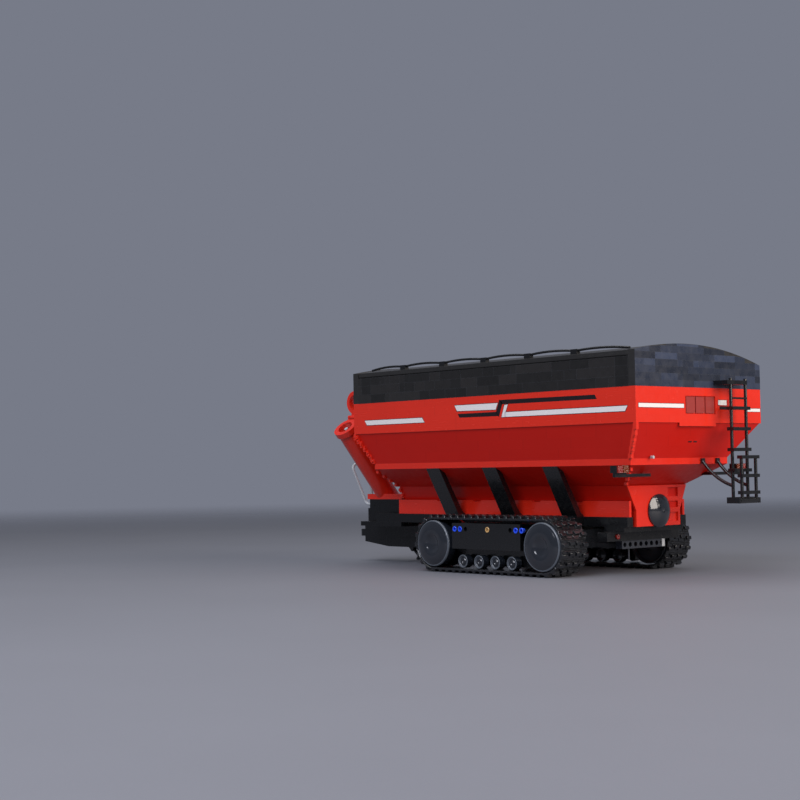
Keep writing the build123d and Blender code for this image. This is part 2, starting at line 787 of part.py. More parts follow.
with BuildPart() as track_frame:
    with BuildSketch(bogie_sketch_plane(spine_y - spine_wall / 2)):
        with Locations((0, (spine_bottom + plate_top) / 2)):
            Rectangle(plate_length, plate_top - spine_bottom)
        with Locations((0, track_radius)):
            SlotCenterToCenter(idler_spacing, 4 * idler_axle)
            with GridLocations(idler_spacing, 0, 2, 1):
                Circle(idler_axle + RUN, mode=Mode.SUBTRACT)
        with Locations((0, wheel_height)):
            with GridLocations(wheel_pitch, 0, wheel_count, 1):
                Circle(PIN_RADIUS + RUN, mode=Mode.SUBTRACT)
        with Locations((-pivot_offset, pivot_height)):
            Circle(axle_radius + RUN, mode=Mode.SUBTRACT)
    extrude(amount=spine_wall)
    with BuildSketch(bogie_sketch_plane(inner_plate_face)):
        with Locations((0, plate_middle)):
            Rectangle(plate_length, plate_top - plate_bottom)
        with Locations((-pivot_offset, pivot_height)):
            Circle(axle_radius + RUN, mode=Mode.SUBTRACT)
    extrude(amount=plate_wall)
    with BuildSketch(bogie_sketch_plane(outer_plate_face - plate_wall)):
        with Locations((0, plate_middle)):
            Rectangle(plate_length, plate_top - plate_bottom)
        with Locations(*[(-pivot_offset + MODULE * step, pivot_height)
                         for step in plate_pin_steps + plate_hole_steps + (0,)]):
            Circle(PIN_RADIUS + RUN, mode=Mode.SUBTRACT)
    extrude(amount=plate_wall)
    # Ties between the inner plate, the spine and the outer plate.
    with BuildSketch(bogie_sketch_plane(inner_plate_face)):
        with Locations((0, pivot_height - 2)):
            with GridLocations(2 * tie_offset, 0, 2, 1):
                Rectangle(tie_size, tie_size)
    extrude(amount=outer_plate_face - inner_plate_face - plate_wall)

head_radius = 2.9
head_wall = 0.9


def plate_pins(steps):
    """Pins with low heads in the outer plate's holes."""
    places = [(-pivot_offset + MODULE * step, pivot_height) for step in steps]
    with BuildPart(mode=Mode.PRIVATE) as pins:
        with BuildSketch(bogie_sketch_plane(outer_plate_face - plate_wall + GAP)):
            with Locations(*places):
                Circle(PIN_RADIUS)
        extrude(amount=plate_wall - GAP)
        with BuildSketch(bogie_sketch_plane(outer_plate_face)):
            with Locations(*places):
                Circle(head_radius)
        extrude(amount=head_wall)
    return pins.part


belt_inner = track_radius - grouser_height - belt_base
belt_outer = track_radius - grouser_height
track_width = track_outer - track_inner
belt_run = 2 * idler_spacing + 2 * pi * belt_outer


def loop_place(distance):
    """The place and outward angle of a point that far round the belt from its front top."""
    half_turn = pi * belt_outer
    if distance < half_turn:
        angle = distance / belt_outer
        return idler_spacing / 2 + belt_outer * sin(angle), belt_outer * cos(angle), degrees(angle)
    distance -= half_turn
    if distance < idler_spacing:
        return idler_spacing / 2 - distance, -belt_outer, 180.0
    distance -= idler_spacing
    if distance < half_turn:
        angle = pi + distance / belt_outer
        return -idler_spacing / 2 + belt_outer * sin(angle), belt_outer * cos(angle), degrees(angle)
    return -idler_spacing / 2 + distance - half_turn, belt_outer, 0.0


grouser_places = []
for number in range(grouser_count):
    along, rise, turn = loop_place((number + 0.5) * belt_run / grouser_count)
    grouser_places.append(Location((at(bogie_station) + along, (track_inner + track_outer) / 2,
                                    track_radius + rise), (0, turn, 0)))
grouser_root = 0.5
with BuildPart() as track_belt:
    with BuildSketch(bogie_sketch_plane(track_inner)):
        with Locations((0, track_radius)):
            SlotCenterToCenter(idler_spacing, 2 * belt_outer)
            SlotCenterToCenter(idler_spacing, 2 * belt_inner, mode=Mode.SUBTRACT)
    extrude(amount=track_width)
    with Locations(*grouser_places):
        with Locations((0, 0, -grouser_root)):
            Box(grouser_length, track_width, grouser_height + grouser_root,
                align=(Align.CENTER, Align.CENTER, Align.MIN))


def turned(station, height, outline):
    """A piece turned about an axle across the cart; the outline is (radius, y) points."""
    with BuildPart(mode=Mode.PRIVATE) as piece:
        with BuildSketch(Plane(origin=(at(station), 0, height), x_dir=(1, 0, 0), z_dir=(0, 0, 1))):
            with BuildLine():
                Polyline(*outline, close=True)
            make_face()
        revolve(axis=Axis((at(station), 0, height), (0, 1, 0)))
    return piece.part


spine_left = spine_y + spine_wall / 2 + 0.4
spine_right = spine_y - spine_wall / 2 - 0.4
dish_face = 97.3
idler_outline = [
    (0, track_inner + 1.5), (9, track_inner + 1.5), (11, track_inner + 4), (21.5, track_inner + 4),
    (22.6, track_inner + 0.6), (idler_radius, track_inner + 0.6), (idler_radius, spine_right - 3),
    (12, spine_right), (idler_axle, spine_right), (idler_axle, spine_left), (12, spine_left),
    (idler_radius, spine_left + 3), (idler_radius, dish_face - 1.4), (22.8, dish_face - 0.1),
    (19.5, dish_face + 0.9), (15, dish_face + 1.5), (10.5, dish_face + 1.5), (8.8, dish_face + 1.0),
    (6.5, dish_face - 0.3), (3.2, dish_face - 1.0), (0, dish_face - 1.2),
]
wheel_face = 95.0
wheel_outline = [
    (0, track_inner + 3), (4.6, track_inner + 3), (5.2, track_inner + 1.8), (wheel_radius, track_inner + 1.8),
    (wheel_radius, track_inner + 1.8 + wheel_rim), (PIN_RADIUS, track_inner + 1.8 + wheel_rim),
    (PIN_RADIUS, wheel_face - wheel_rim), (wheel_radius, wheel_face - wheel_rim), (wheel_radius, wheel_face),
    (5.6, wheel_face), (5.0, wheel_face - 1.6), (2.6, wheel_face - 1.6), (2.2, wheel_face - 0.4),
    (0, wheel_face - 0.4),
]
left_side = {
    "track_frame": track_frame.part,
    "track_belt": track_belt.part,
    "plate_pins": plate_pins(plate_pin_steps),
    "pivot_pin": plate_pins((0,)),
    "idler_front": turned(front_idler, track_radius, idler_outline),
    "idler_rear": turned(rear_idler, track_radius, idler_outline),
}
for number, station in enumerate(wheel_stations, start=1):
    left_side[f"road_wheel_{number}"] = turned(station, wheel_height, wheel_outline)
for name, piece in left_side.items():
    finish(mirror(piece, about=Plane.XZ), f"{name}_right")
    finish(piece, f"{name}_left")

# ---- Auger boot, lower auger and its screw ----------------------------------------------
AUGER = Plane(origin=flange_centre, x_dir=hinge_side, z_dir=auger_axis)
FOLDED = Plane(origin=folded_centre, x_dir=folded_side, z_dir=folded_axis)
hinge_axis_local = Plane(origin=hinge_centre, x_dir=auger_axis, z_dir=hinge_side.cross(auger_axis))
tube_run = auger_lean + 30.0


def slanted_bore(radius, reach):
    """A round hollow along the lower auger's axis, down from its flange."""
    with BuildPart(mode=Mode.PRIVATE) as bore:
        with BuildSketch(AUGER):
            Circle(radius)
        extrude(amount=-reach)
    return bore.part


boot_block = block(hopper_front_low, deck_front, -boot_half_width, boot_half_width, sump_bottom, boot_top)
boot_wall = 4.0
boot_bore = drive_bore(screw_port, hopper_front_low, foot_station + 2)
boot_front_bearing = drive_bore(screw_shaft + RUN, foot_station + 1, deck_front)
elevator_bore = slanted_bore(tube_bore, auger_lean + 12)
with BuildPart() as auger_boot:
    add(boot_block)
    add([boot_bore, boot_front_bearing, elevator_bore], mode=Mode.SUBTRACT)
finish(auger_boot.part, "auger_boot")

base_top = boot_top + base_plate_wall
plate_blank = block(base_plate_rear, deck_front + 4, -boot_half_width + 4, boot_half_width, boot_top, base_top)
below_plate = block(hopper_front_low, deck_front + 60, -100, 100, -60, boot_top)
knuckle_radius = 2.4
ear_inner = 5.0
lug_width = 4.7
ear_outer = 8.0
knuckle_half = ear_inner - GAP
with BuildPart() as lower_auger_tube:
    with BuildSketch(AUGER):
        Circle(tube_radius)
    extrude(amount=-(auger_lean + 10))
    with BuildSketch(AUGER):
        Circle(flange_radius)
    extrude(amount=-flange_wall)
    add(plate_blank)
    add(below_plate, mode=Mode.SUBTRACT)
    for ear_start in (ear_inner, -ear_outer):
        with BuildSketch(hinge_axis_local.offset(ear_start)):
            Circle(knuckle_radius)
            with Locations((-GAP - lug_width / 2, 3.25)):
                Rectangle(lug_width, 6.5)
        extrude(amount=ear_outer - ear_inner)
    with BuildSketch(hinge_axis_local.offset(-ear_outer)):
        Circle(hinge_pin)
    extrude(amount=2 * ear_outer)
    add(elevator_bore, mode=Mode.SUBTRACT)
finish(lower_auger_tube.part, "lower_auger_tube")

# The folded upper auger. Its flange turns about the hinge to meet the lower one.
folded_hinge = Plane(origin=hinge_centre, x_dir=folded_axis, z_dir=folded_side.cross(folded_axis))
with BuildPart() as upper_auger_tube:
    with BuildSketch(FOLDED.offset(GAP)):
        Circle(tube_radius)
    extrude(amount=upper_length - GAP)
    with BuildSketch(FOLDED.offset(GAP)):
        Circle(folded_flange_radius)
    extrude(amount=flange_wall)
    with BuildSketch(folded_hinge.offset(-knuckle_half)):
        Circle(knuckle_radius)
        with Locations((GAP + lug_width / 2, 3.0)):
            Rectangle(lug_width, 6.0)
    extrude(amount=2 * knuckle_half)
    with BuildSketch(folded_hinge.offset(-knuckle_half)):
        Circle(hinge_pin + RUN)
    extrude(amount=2 * knuckle_half, mode=Mode.SUBTRACT)
    with BuildSketch(FOLDED.offset(GAP)):
        Circle(tube_bore)
    extrude(amount=upper_length - 4.0, mode=Mode.SUBTRACT)
    # Discharge opening on the side that faces down when the auger is unfolded.
    with BuildSketch(FOLDED.offset(upper_length - 26)):
        with Locations((-tube_radius, 0)):
            Rectangle(tube_radius, 1.3 * tube_bore)
    extrude(amount=18, mode=Mode.SUBTRACT)
finish(upper_auger_tube.part, "upper_auger_tube")

# The discharge spout is a hood that seats on the tube's end, open at its mouth.
spout_wall = 1.6
spout_half = tube_radius + 2.2
spout_middle = upper_length - 17.0
spout_length = 24.0
spout_depth = 26.0
with BuildPart() as discharge_spout:
    with BuildSketch(FOLDED.offset(spout_middle - spout_length / 2)):
        with Locations((-spout_depth / 2, 0)):
            Rectangle(spout_depth, 2 * spout_half)
    extrude(amount=spout_length)
    with BuildSketch(FOLDED.offset(spout_middle - spout_length / 2 + spout_wall)):
        with Locations((-spout_depth / 2 - 1, 0)):
            Rectangle(spout_depth, 2 * (spout_half - spout_wall))
    extrude(amount=spout_length - 2 * spout_wall, mode=Mode.SUBTRACT)
    with BuildSketch(FOLDED.offset(spout_middle - spout_length)):
        Circle(tube_radius)
    extrude(amount=2 * spout_length, mode=Mode.SUBTRACT)
finish(discharge_spout.part, "discharge_spout")


def screw(plane, start, end, radius):
    """A shaft with slanting flights along a plane's normal."""
    count = int((end - start - 2 * flight_pitch / 3) // flight_pitch) + 1
    first = start + ((end - start) - (count - 1) * flight_pitch) / 2
    places = [plane.offset(first + i * flight_pitch).location for i in range(count)]
    with BuildPart(mode=Mode.PRIVATE) as piece:
        with BuildSketch(plane.offset(start)):
            Circle(screw_shaft)
        extrude(amount=end - start)
        for place in places:
            with Locations(place):
                Cylinder(radius, flight_wall, rotation=(flight_tilt, 0, 0))
    return piece.part


finish(screw(AUGER, -auger_lean - 6, -2.0, flight_radius), "lower_auger_screw")
finish(screw(FOLDED, 3.0, upper_length - 6.0, flight_radius), "upper_auger_screw")

drive_plane = Plane(origin=(0, 0, sump_screw_height), x_dir=(0, 1, 0), z_dir=(1, 0, 0))
sump_screw_rear = shoulder_rear - panel_wall + 0.2
sump_screw_front = foot_station - 2
sump_flights = screw(drive_plane, at(shoulder_rear + sump_wall + 2), at(sump_screw_front), sump_flight)
with BuildPart() as sump_auger_screw:
    add(sump_flights)
    with BuildSketch(across(sump_screw_rear)):
        with Locations((0, sump_screw_height)):
            Circle(screw_shaft)
    extrude(amount=deck_front - 2 - sump_screw_rear)
finish(sump_auger_screw.part, "sump_auger_screw")

yoke_radius = 4.2
yoke_length = 9.0
with BuildPart() as pto_shaft:
    with BuildSketch(across(deck_front - 2)):
        with Locations((0, sump_screw_height)):
            Circle(screw_shaft)
    extrude(amount=pto_reach + 2)
    with BuildSketch(across(deck_front + GAP)):
        with Locations((0, sump_screw_height)):
            Circle(yoke_radius)
    extrude(amount=yoke_length)
    with BuildSketch(across(deck_front + pto_reach)):
        with Locations((0, sump_screw_height)):
            Circle(PIN_RADIUS)
    extrude(amount=MODULE)
finish(pto_shaft.part, "pto_shaft")

# ---- Hydraulic hose parked in its holder on the drawbar ----------------------------------
hose_outer = 1.6
hose_y = 24.0
hose_exit_height = 67.0
hose_bend = 5.8
hose_crown = 114.0
hose_crown_y = 36.0
hose_points = [
    (at(deck_front), hose_y, hose_exit_height),
    (at(deck_front + 13), hose_y, hose_exit_height),
    (at(holder_station + 4), hose_crown_y, hose_crown),
    (at(holder_station), holder_y, hose_crown),
    (at(holder_station), holder_y, holder_top),
]
with BuildPart() as hydraulic_hose:
    with BuildLine() as hose_route:
        FilletPolyline(*hose_points, radius=hose_bend)
    with BuildSketch(across(deck_front)):
        with Locations((hose_y, hose_exit_height)):
            Circle(hose_outer)
    sweep()
finish(hydraulic_hose.part, "hydraulic_hose")

# ---- Ladder -----------------------------------------------------------------------------
ladder_right = ladder_y - ladder_half_gauge
ladder_left = ladder_y + ladder_half_gauge
rung_heights = [lowest_rung] + [second_rung + rung_pitch * i for i in range(4)]
brace_wall = 1.8
bracket_bottom = 183.0
bracket_top = 187.0
pivot_ear = 2.6
strut_top = ridge_top - 3.0
strut_bottom = 86.0
strut_spread = 3.0


def strut(y_top, y_bottom):
    """A bent bar from the ridge down to a ladder rail."""
    top = Vector(at(ridge_inset - 1.0), y_top, strut_top)
    bottom = Vector(at(-ladder_stand_off), y_bottom, strut_bottom)
    middle = (top + bottom) / 2 + Vector(2.0, 0, -3.0)
    path = Edge.make_three_point_arc(top, middle, bottom)
    with BuildPart(mode=Mode.PRIVATE) as bar:
        with BuildSketch(Plane(origin=path @ 0, z_dir=path % 0)):
            Circle(BAR_RADIUS)
        sweep(path=path)
        with Locations(top):
            Box(2.0, 5.0, 5.0)
    return bar.part


ladder_struts = [strut(ladder_left + strut_spread, ladder_left), strut(ladder_right + strut_spread, ladder_right)]
with BuildPart() as ladder:
    with BuildSketch(Plane.XY.offset(ladder_bottom)):
        with Locations((at(-ladder_stand_off), ladder_right), (at(-ladder_stand_off), ladder_left)):
            Circle(BAR_RADIUS)
    extrude(amount=ladder_top - ladder_bottom)
    for height in rung_heights:
        with BuildSketch(Plane.XY.offset(height)):
            with Locations((at(-ladder_stand_off), ladder_y)):
                Rectangle(rung_depth, 2 * (fold_pivot_half if height == lowest_rung else rung_half_width))
        extrude(amount=rung_wall)
    with BuildSketch(Plane.XY.offset(brace_height)):
        with Locations((at(-ladder_stand_off), ladder_y)):
            Rectangle(rung_depth / 2, 2 * ladder_half_gauge)
    extrude(amount=brace_wall)
    with BuildSketch(Plane.XY.offset(bracket_bottom)):
        with Locations((at(-(ladder_stand_off + BAR_RADIUS) / 2), ladder_y + 3)):
            Rectangle(ladder_stand_off + BAR_RADIUS, 2 * ladder_half_gauge + 8)
    extrude(amount=bracket_top - bracket_bottom)
    # Ears and the pin on which the lower section folds.
    for y in (ladder_y - fold_pivot_half, ladder_y + fold_pivot_half - pivot_ear):
        with BuildSketch(Plane.XY.offset(fold_pivot_height - 2.6)):
            ear_run = fold_pivot_stand_off + 2.4 - (ladder_stand_off - rung_depth / 2)
            with Locations((at(-(fold_pivot_stand_off + 2.4) + ear_run / 2), y + pivot_ear / 2)):
                Rectangle(ear_run, pivot_ear)
        extrude(amount=5.2)
    with BuildSketch(lengthwise(ladder_y - fold_pivot_half)):
        with Locations((-at(-fold_pivot_stand_off), fold_pivot_height)):
            Circle(BAR_RADIUS)
    extrude(amount=2 * fold_pivot_half)
    add(ladder_struts)
    add(envelope, mode=Mode.SUBTRACT)
    add(roof_boards.part, mode=Mode.SUBTRACT)
finish(ladder.part, "ladder")

fold_knuckle = 2.8
fold_half = fold_pivot_half - pivot_ear - GAP
fold_heights = (fold_pivot_height + 6.0, 94.0, fold_top - rung_wall)
with BuildPart() as ladder_fold:
    with BuildSketch(lengthwise(ladder_y - fold_half)):
        with Locations((-at(-fold_pivot_stand_off), fold_pivot_height)):
            Circle(fold_knuckle)
            Circle(BAR_RADIUS + RUN, mode=Mode.SUBTRACT)
    extrude(amount=2 * fold_half)
    with BuildSketch(Plane.XY.offset(fold_pivot_height + fold_knuckle - 0.8)):
        with Locations((at(-fold_stand_off), ladder_right + 0.4), (at(-fold_stand_off), ladder_left - 0.4)):
            Circle(BAR_RADIUS)
    extrude(amount=fold_top - fold_pivot_height - fold_knuckle + 0.8)
    for height in fold_heights:
        with BuildSketch(Plane.XY.offset(height)):
            with Locations((at(-fold_stand_off), ladder_y)):
                Rectangle(rung_depth - 2, 2 * rung_half_width)
        extrude(amount=rung_wall)
finish(ladder_fold.part, "ladder_fold")

# ---- Lamps ------------------------------------------------------------------------------
lamp_depth = 8.0
lens_wall = 1.4
lens_width = 7.2
arm_inner = 47.0
arm_bottom = 96.4
arm_wall = 3.0


def lamp_bracket():
    """The left lamp housing with its arm to the rear slope below the ridge."""
    arm = block(lamp_station + 2, lamp_station + 5, arm_inner, lamp_outer, arm_bottom, arm_bottom + arm_wall)
    inner_foot = block(lamp_station + 2, lamp_station + 16, arm_inner, arm_inner + 4, arm_bottom,
                       arm_bottom + arm_wall)
    web = block(lamp_station + 2, lamp_station + 5, lamp_inner, lamp_outer, arm_bottom, lamp_bottom)
    housing = block(lamp_station, lamp_station + lamp_depth, lamp_inner, lamp_outer, lamp_bottom, lamp_top)
    return arm + inner_foot + web + housing


left_bracket = lamp_bracket()
with BuildPart() as lamp_brackets:
    add(left_bracket)
    mirror(about=Plane.XZ)
    add(envelope, mode=Mode.SUBTRACT)
finish(lamp_brackets.part, "lamp_brackets")


def lenses(inner):
    """A pair of lenses, left and right, on the lamp housings' rear faces."""
    lens = block(lamp_station - lens_wall, lamp_station, inner, inner + lens_width, lamp_bottom, lamp_top)
    with BuildPart(mode=Mode.PRIVATE) as pair:
        add(lens)
        mirror(about=Plane.XZ)
    return pair.part


finish(lenses(lamp_inner + 0.3), "lenses_amber")

reflector_radius = 2.6
reflector_wall = 1.4
reflector_y = 39.0
with BuildPart() as lenses_red:
    add(lenses(lamp_outer - 0.3 - lens_width))
    # A round reflector on the rear crossbeam.
    with BuildSketch(across(rear_beam_station - rear_beam_depth / 2)):
        with Locations((reflector_y, beam_top - rear_beam_height / 2)):
            Circle(reflector_radius)
    extrude(amount=-reflector_wall)
finish(lenses_red.part, "lenses_red")
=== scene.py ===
# %% [markdown]
# # Tracked grain cart, scale model
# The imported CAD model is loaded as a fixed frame. Everything below gives it its surfaces,
# and adds the parts that are finer than the CAD: track links, turned dishes, screws, stripes and roof tiles.

# %% Load the frame
import json
import random
from math import cos, hypot, pi, radians, sin, sqrt

import bmesh
import bpy
from mathutils import Matrix, Vector


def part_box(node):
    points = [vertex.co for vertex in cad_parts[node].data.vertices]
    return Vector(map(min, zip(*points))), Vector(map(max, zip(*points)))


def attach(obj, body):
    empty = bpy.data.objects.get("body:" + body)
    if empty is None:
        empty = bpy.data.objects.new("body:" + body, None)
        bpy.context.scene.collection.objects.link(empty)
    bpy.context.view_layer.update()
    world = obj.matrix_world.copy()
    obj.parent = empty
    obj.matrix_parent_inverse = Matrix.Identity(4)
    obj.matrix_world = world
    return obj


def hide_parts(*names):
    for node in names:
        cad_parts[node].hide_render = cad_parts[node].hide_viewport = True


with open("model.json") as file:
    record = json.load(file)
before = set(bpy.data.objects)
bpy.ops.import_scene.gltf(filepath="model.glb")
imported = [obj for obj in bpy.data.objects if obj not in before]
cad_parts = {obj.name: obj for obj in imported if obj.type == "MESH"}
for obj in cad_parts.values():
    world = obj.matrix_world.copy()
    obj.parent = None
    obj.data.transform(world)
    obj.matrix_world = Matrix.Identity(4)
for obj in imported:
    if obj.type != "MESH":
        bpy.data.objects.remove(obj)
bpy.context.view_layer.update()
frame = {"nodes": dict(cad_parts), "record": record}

MM = 0.001

# %% [markdown]
# ## Sizes
# The building system has pin holes 8 mm apart and bricks 9.6 mm high, a third of that for plates.
# Where a piece lies is read from the CAD nodes.

# %% Sizes read from the frame
MODULE = 8 * MM
PLATE = 3.2 * MM
BRICK = 3 * PLATE


def middle(node):
    """The middle of a CAD node's box."""
    low, high = (Vector(corner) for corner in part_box(node))
    return (low + high) / 2


def span(node):
    """The lowest and highest corners of a CAD node's box."""
    return tuple(Vector(corner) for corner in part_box(node))


band_low, band_high = span("band_left")
hopper_rear = band_low.x
hopper_front = band_high.x
hopper_side = band_high.y
band_floor = band_low.z
band_roof = band_high.z


def station(distance):
    """The X position that lies a distance in millimetres ahead of the hopper's rear face."""
    return hopper_rear + distance * MM


print("hopper from", round(hopper_rear, 4), "to", round(hopper_front, 4), "half width", round(hopper_side, 4))

# %% [markdown]
# ## Node helpers
# A colour is given as an sRGB hex value and turned into linear light once.

# %% Helpers for colours and shader nodes


def linear(code):
    """A hex colour in sRGB as opaque linear RGBA."""
    channels = [int(code[i:i + 2], 16) / 255 for i in (0, 2, 4)]
    return [c / 12.92 if c <= 0.04045 else ((c + 0.055) / 1.055) ** 2.4 for c in channels] + [1.0]


def node(tree, kind, inputs=None, **settings):
    """Adds a shader node, applies its settings, and sets or links its inputs."""
    made = tree.nodes.new(kind)
    for key, value in settings.items():
        setattr(made, key, value)
    for key, value in (inputs or {}).items():
        socket = made.inputs[key]
        if isinstance(value, bpy.types.NodeSocket):
            tree.links.new(value, socket)
        else:
            socket.default_value = value
    return made


def start_material(name):
    """An empty node material and its tree, with the output node in place."""
    material = bpy.data.materials.new(name)
    material.use_nodes = True
    tree = material.node_tree
    tree.nodes.clear()
    output = node(tree, "ShaderNodeOutputMaterial")
    return material, tree, output


def object_coords(tree):
    """Coordinates in metres that stay with the piece."""
    return node(tree, "ShaderNodeTexCoord").outputs["Object"]


def noise(tree, vector, scale, detail):
    """Noise of that scale, as one value."""
    return node(tree, "ShaderNodeTexNoise", {"Vector": vector, "Scale": scale, "Detail": detail}).outputs[0]


def remap(tree, value, low, high, to_low, to_high, **settings):
    """A value moved from one range into another."""
    return node(tree, "ShaderNodeMapRange", {0: value, 1: low, 2: high, 3: to_low, 4: to_high},
                **settings).outputs[0]


def maths(tree, operation, first, second):
    """The result of one operation on two values."""
    return node(tree, "ShaderNodeMath", {0: first, 1: second}, operation=operation).outputs[0]


def blend(tree, amount, first, second):
    """The second colour mixed into the first by that amount."""
    return node(tree, "ShaderNodeMix", {0: amount, 6: first, 7: second}, data_type="RGBA").outputs[2]


def tinted(tree, colour, shade):
    """A hex colour made lighter or darker by a factor."""
    return node(tree, "ShaderNodeVectorMath", {0: linear(colour)[:3], "Scale": shade},
                operation="SCALE").outputs[0]


def bumped(tree, height, distance, strength):
    """A normal that follows a height."""
    return node(tree, "ShaderNodeBump",
                {"Height": height, "Distance": distance, "Strength": strength}).outputs[0]


def edge_turn(tree, facing, radius):
    """One on a flat face, and less near an edge, where a bevelled normal leaves the true one."""
    bevelled = node(tree, "ShaderNodeBevel", {"Radius": radius}, samples=4)
    return node(tree, "ShaderNodeVectorMath", {0: bevelled.outputs[0], 1: facing},
                operation="DOT_PRODUCT").outputs["Value"]


def cover(tree, output, inputs):
    """Ends a material with a surface that has those inputs."""
    surface = node(tree, "ShaderNodeBsdfPrincipled", inputs)
    tree.links.new(surface.outputs[0], output.inputs["Surface"])


# %% [markdown]
# ## Moulded ABS
# Most of the model is glossy moulded ABS. Close up it has a faint orange-peel surface, fine handling
# scratches, slightly paler worn edges and small tone differences from brick to brick.
# Where bricks meet, a fine seam shows. The seams run along the walls in rows one brick high.

# %% Moulded ABS
# Noise scales are counts per metre.
CLOUD_SCALE = 28.0
PATCH_SCALE = 160.0
GRAIN_SCALE = 900.0
GRAIN_HEIGHT = 0.012
SEAM_DEPTH = 0.7
# A face counts as level where its normal rises more than this.
LEVEL_LIMIT = 0.85
SCRATCH_TURNS = (0.35, 1.9)
SCRATCH_SCALE = (60.0, 2600.0, 700.0)
SCRATCH_ROUGHNESS = 0.09
DUST_COLOUR = "8D8A86"


def wall_vector(tree, length, height):
    """Coordinates that run along a wall and up it, counted in bricks of that size."""
    parts = node(tree, "ShaderNodeSeparateXYZ", {0: object_coords(tree)})
    facing = node(tree, "ShaderNodeNewGeometry").outputs["True Normal"]
    normal = node(tree, "ShaderNodeSeparateXYZ", {0: facing})
    tilt = node(tree, "ShaderNodeMath", {0: normal.outputs["Z"]}, operation="ABSOLUTE")
    level = maths(tree, "GREATER_THAN", tilt.outputs[0], LEVEL_LIMIT)
    around = maths(tree, "ADD", parts.outputs["X"], parts.outputs["Y"])
    upright = node(tree, "ShaderNodeCombineXYZ", {"X": around, "Y": parts.outputs["Z"]})
    flat = node(tree, "ShaderNodeCombineXYZ", {"X": parts.outputs["X"], "Y": parts.outputs["Y"]})
    chosen = node(tree, "ShaderNodeMix", {0: level, 4: upright.outputs[0], 5: flat.outputs[0]},
                  data_type="VECTOR")
    return node(tree, "ShaderNodeVectorMath", {0: chosen.outputs[1], 1: (1 / length, 1 / height, 1.0)},
                operation="MULTIPLY").outputs[0]


def grey(level):
    """An even grey of that level."""
    return level, level, level, 1


def moulded_abs(name, colour, roughness=0.22, seam=None, line=0.5, tone=0.05, wear=0.35, dust=0.0,
                coat=0.25, shine=0.5):
    """Moulded ABS. The seam gives the bricks' length and height, the line how dark the seams are,
    and the tone how much the bricks differ."""
    material, tree, output = start_material(name)
    coords = object_coords(tree)
    cloud = noise(tree, coords, CLOUD_SCALE, 3.0)
    skin = tinted(tree, colour, remap(tree, cloud, 0.3, 0.7, 1 - tone, 1 + tone))
    height = maths(tree, "MULTIPLY", noise(tree, coords, GRAIN_SCALE, 2.0), GRAIN_HEIGHT)
    if seam:
        length, rise = seam
        bricks = node(tree, "ShaderNodeTexBrick", {
            "Vector": wall_vector(tree, length, rise), "Color1": grey(1 - tone), "Color2": grey(1 + tone),
            "Mortar": grey(1 - line), "Scale": 1.0, "Mortar Size": 0.012, "Mortar Smooth": 0.4,
            "Brick Width": 1.0, "Row Height": 1.0,
        }, offset=0.5, offset_frequency=2, squash=1.5, squash_frequency=3)
        mixed = node(tree, "ShaderNodeVectorMath", {0: skin, 1: bricks.outputs["Color"]},
                     operation="MULTIPLY")
        skin = mixed.outputs[0]
        groove = maths(tree, "MULTIPLY", bricks.outputs["Fac"], -SEAM_DEPTH * line)
        height = maths(tree, "ADD", height, groove)
    # Worn edges are a little paler.
    facing = node(tree, "ShaderNodeNewGeometry").outputs["Normal"]
    patches = noise(tree, coords, PATCH_SCALE, 4.0)
    edge_wear_and_highlight = remap(tree, edge_turn(tree, facing, 0.5 * MM), 0.98, 0.8, 0.0, wear)
    paler = [min(1.0, c * 1.25 + 0.05) for c in linear(colour)[:3]] + [1.0]
    settled = blend(tree, maths(tree, "MULTIPLY", edge_wear_and_highlight, patches), skin, paler)
    # Fine handling scratches, long and thin, in two directions.
    streaks = []
    for turn in SCRATCH_TURNS:
        turned = node(tree, "ShaderNodeMapping", {"Vector": coords, "Rotation": (turn, turn / 2, turn),
                                                  "Scale": SCRATCH_SCALE})
        hair = noise(tree, turned.outputs[0], 1.0, 1.0)
        streaks.append(remap(tree, hair, 0.68, 0.76, 0.0, SCRATCH_ROUGHNESS))
    smudge = remap(tree, patches, 0.3, 0.75, roughness * 0.85, roughness * 1.3)
    roughened = maths(tree, "ADD", smudge, maths(tree, "ADD", *streaks))
    if dust:
        # Fine dust lies on what faces up.
        up = node(tree, "ShaderNodeSeparateXYZ", {0: facing})
        lying = remap(tree, up.outputs["Z"], 0.2, 1.0, 0.0, dust)
        speck = maths(tree, "MULTIPLY", lying, patches)
        settled = blend(tree, speck, settled, linear(DUST_COLOUR))
        roughened = maths(tree, "ADD", roughened, speck)
    cover(tree, output, {
        "Base Color": settled, "Roughness": roughened, "Normal": bumped(tree, height, 0.6 * MM, 0.5),
        "Specular IOR Level": shine, "Coat Weight": coat, "Coat Roughness": 0.08,
    })
    return material


# Bricks of the walls are eight studs long and one brick high, those of the roof four studs and a plate.
long_bricks = (8 * MODULE, BRICK)
roof_bricks = (4 * MODULE, PLATE)
# Red hopper walls, with seams that hardly show.
red_wall = moulded_abs("moulded_abs_red_wall", "DC2C18", seam=long_bricks, line=0.07, tone=0.012)
# Red slopes and shell under the band: the same red plastic as the walls, with painted shade in a darker base
# colour, and a duller gloss.
red_slope_painted_shade = moulded_abs("moulded_abs_red_slope", "C81A0E", roughness=0.34, seam=long_bricks, line=0.07,
                        tone=0.015, coat=0.0, shine=0.22)
# Red panels, tubes and fittings without brick rows.
red_part = moulded_abs("moulded_abs_red_part", "DA2A18", tone=0.03)
# Black ribs, ladder, brackets and track frames.
black_part = moulded_abs("moulded_abs_black", "101113", roughness=0.24, wear=0.5, dust=0.08)
# Black beams of the frame, with seams.
black_beam = moulded_abs("moulded_abs_black_beam", "0E0F11", roughness=0.28, seam=long_bricks, wear=0.4,
                         dust=0.05, coat=0.1, shine=0.4)
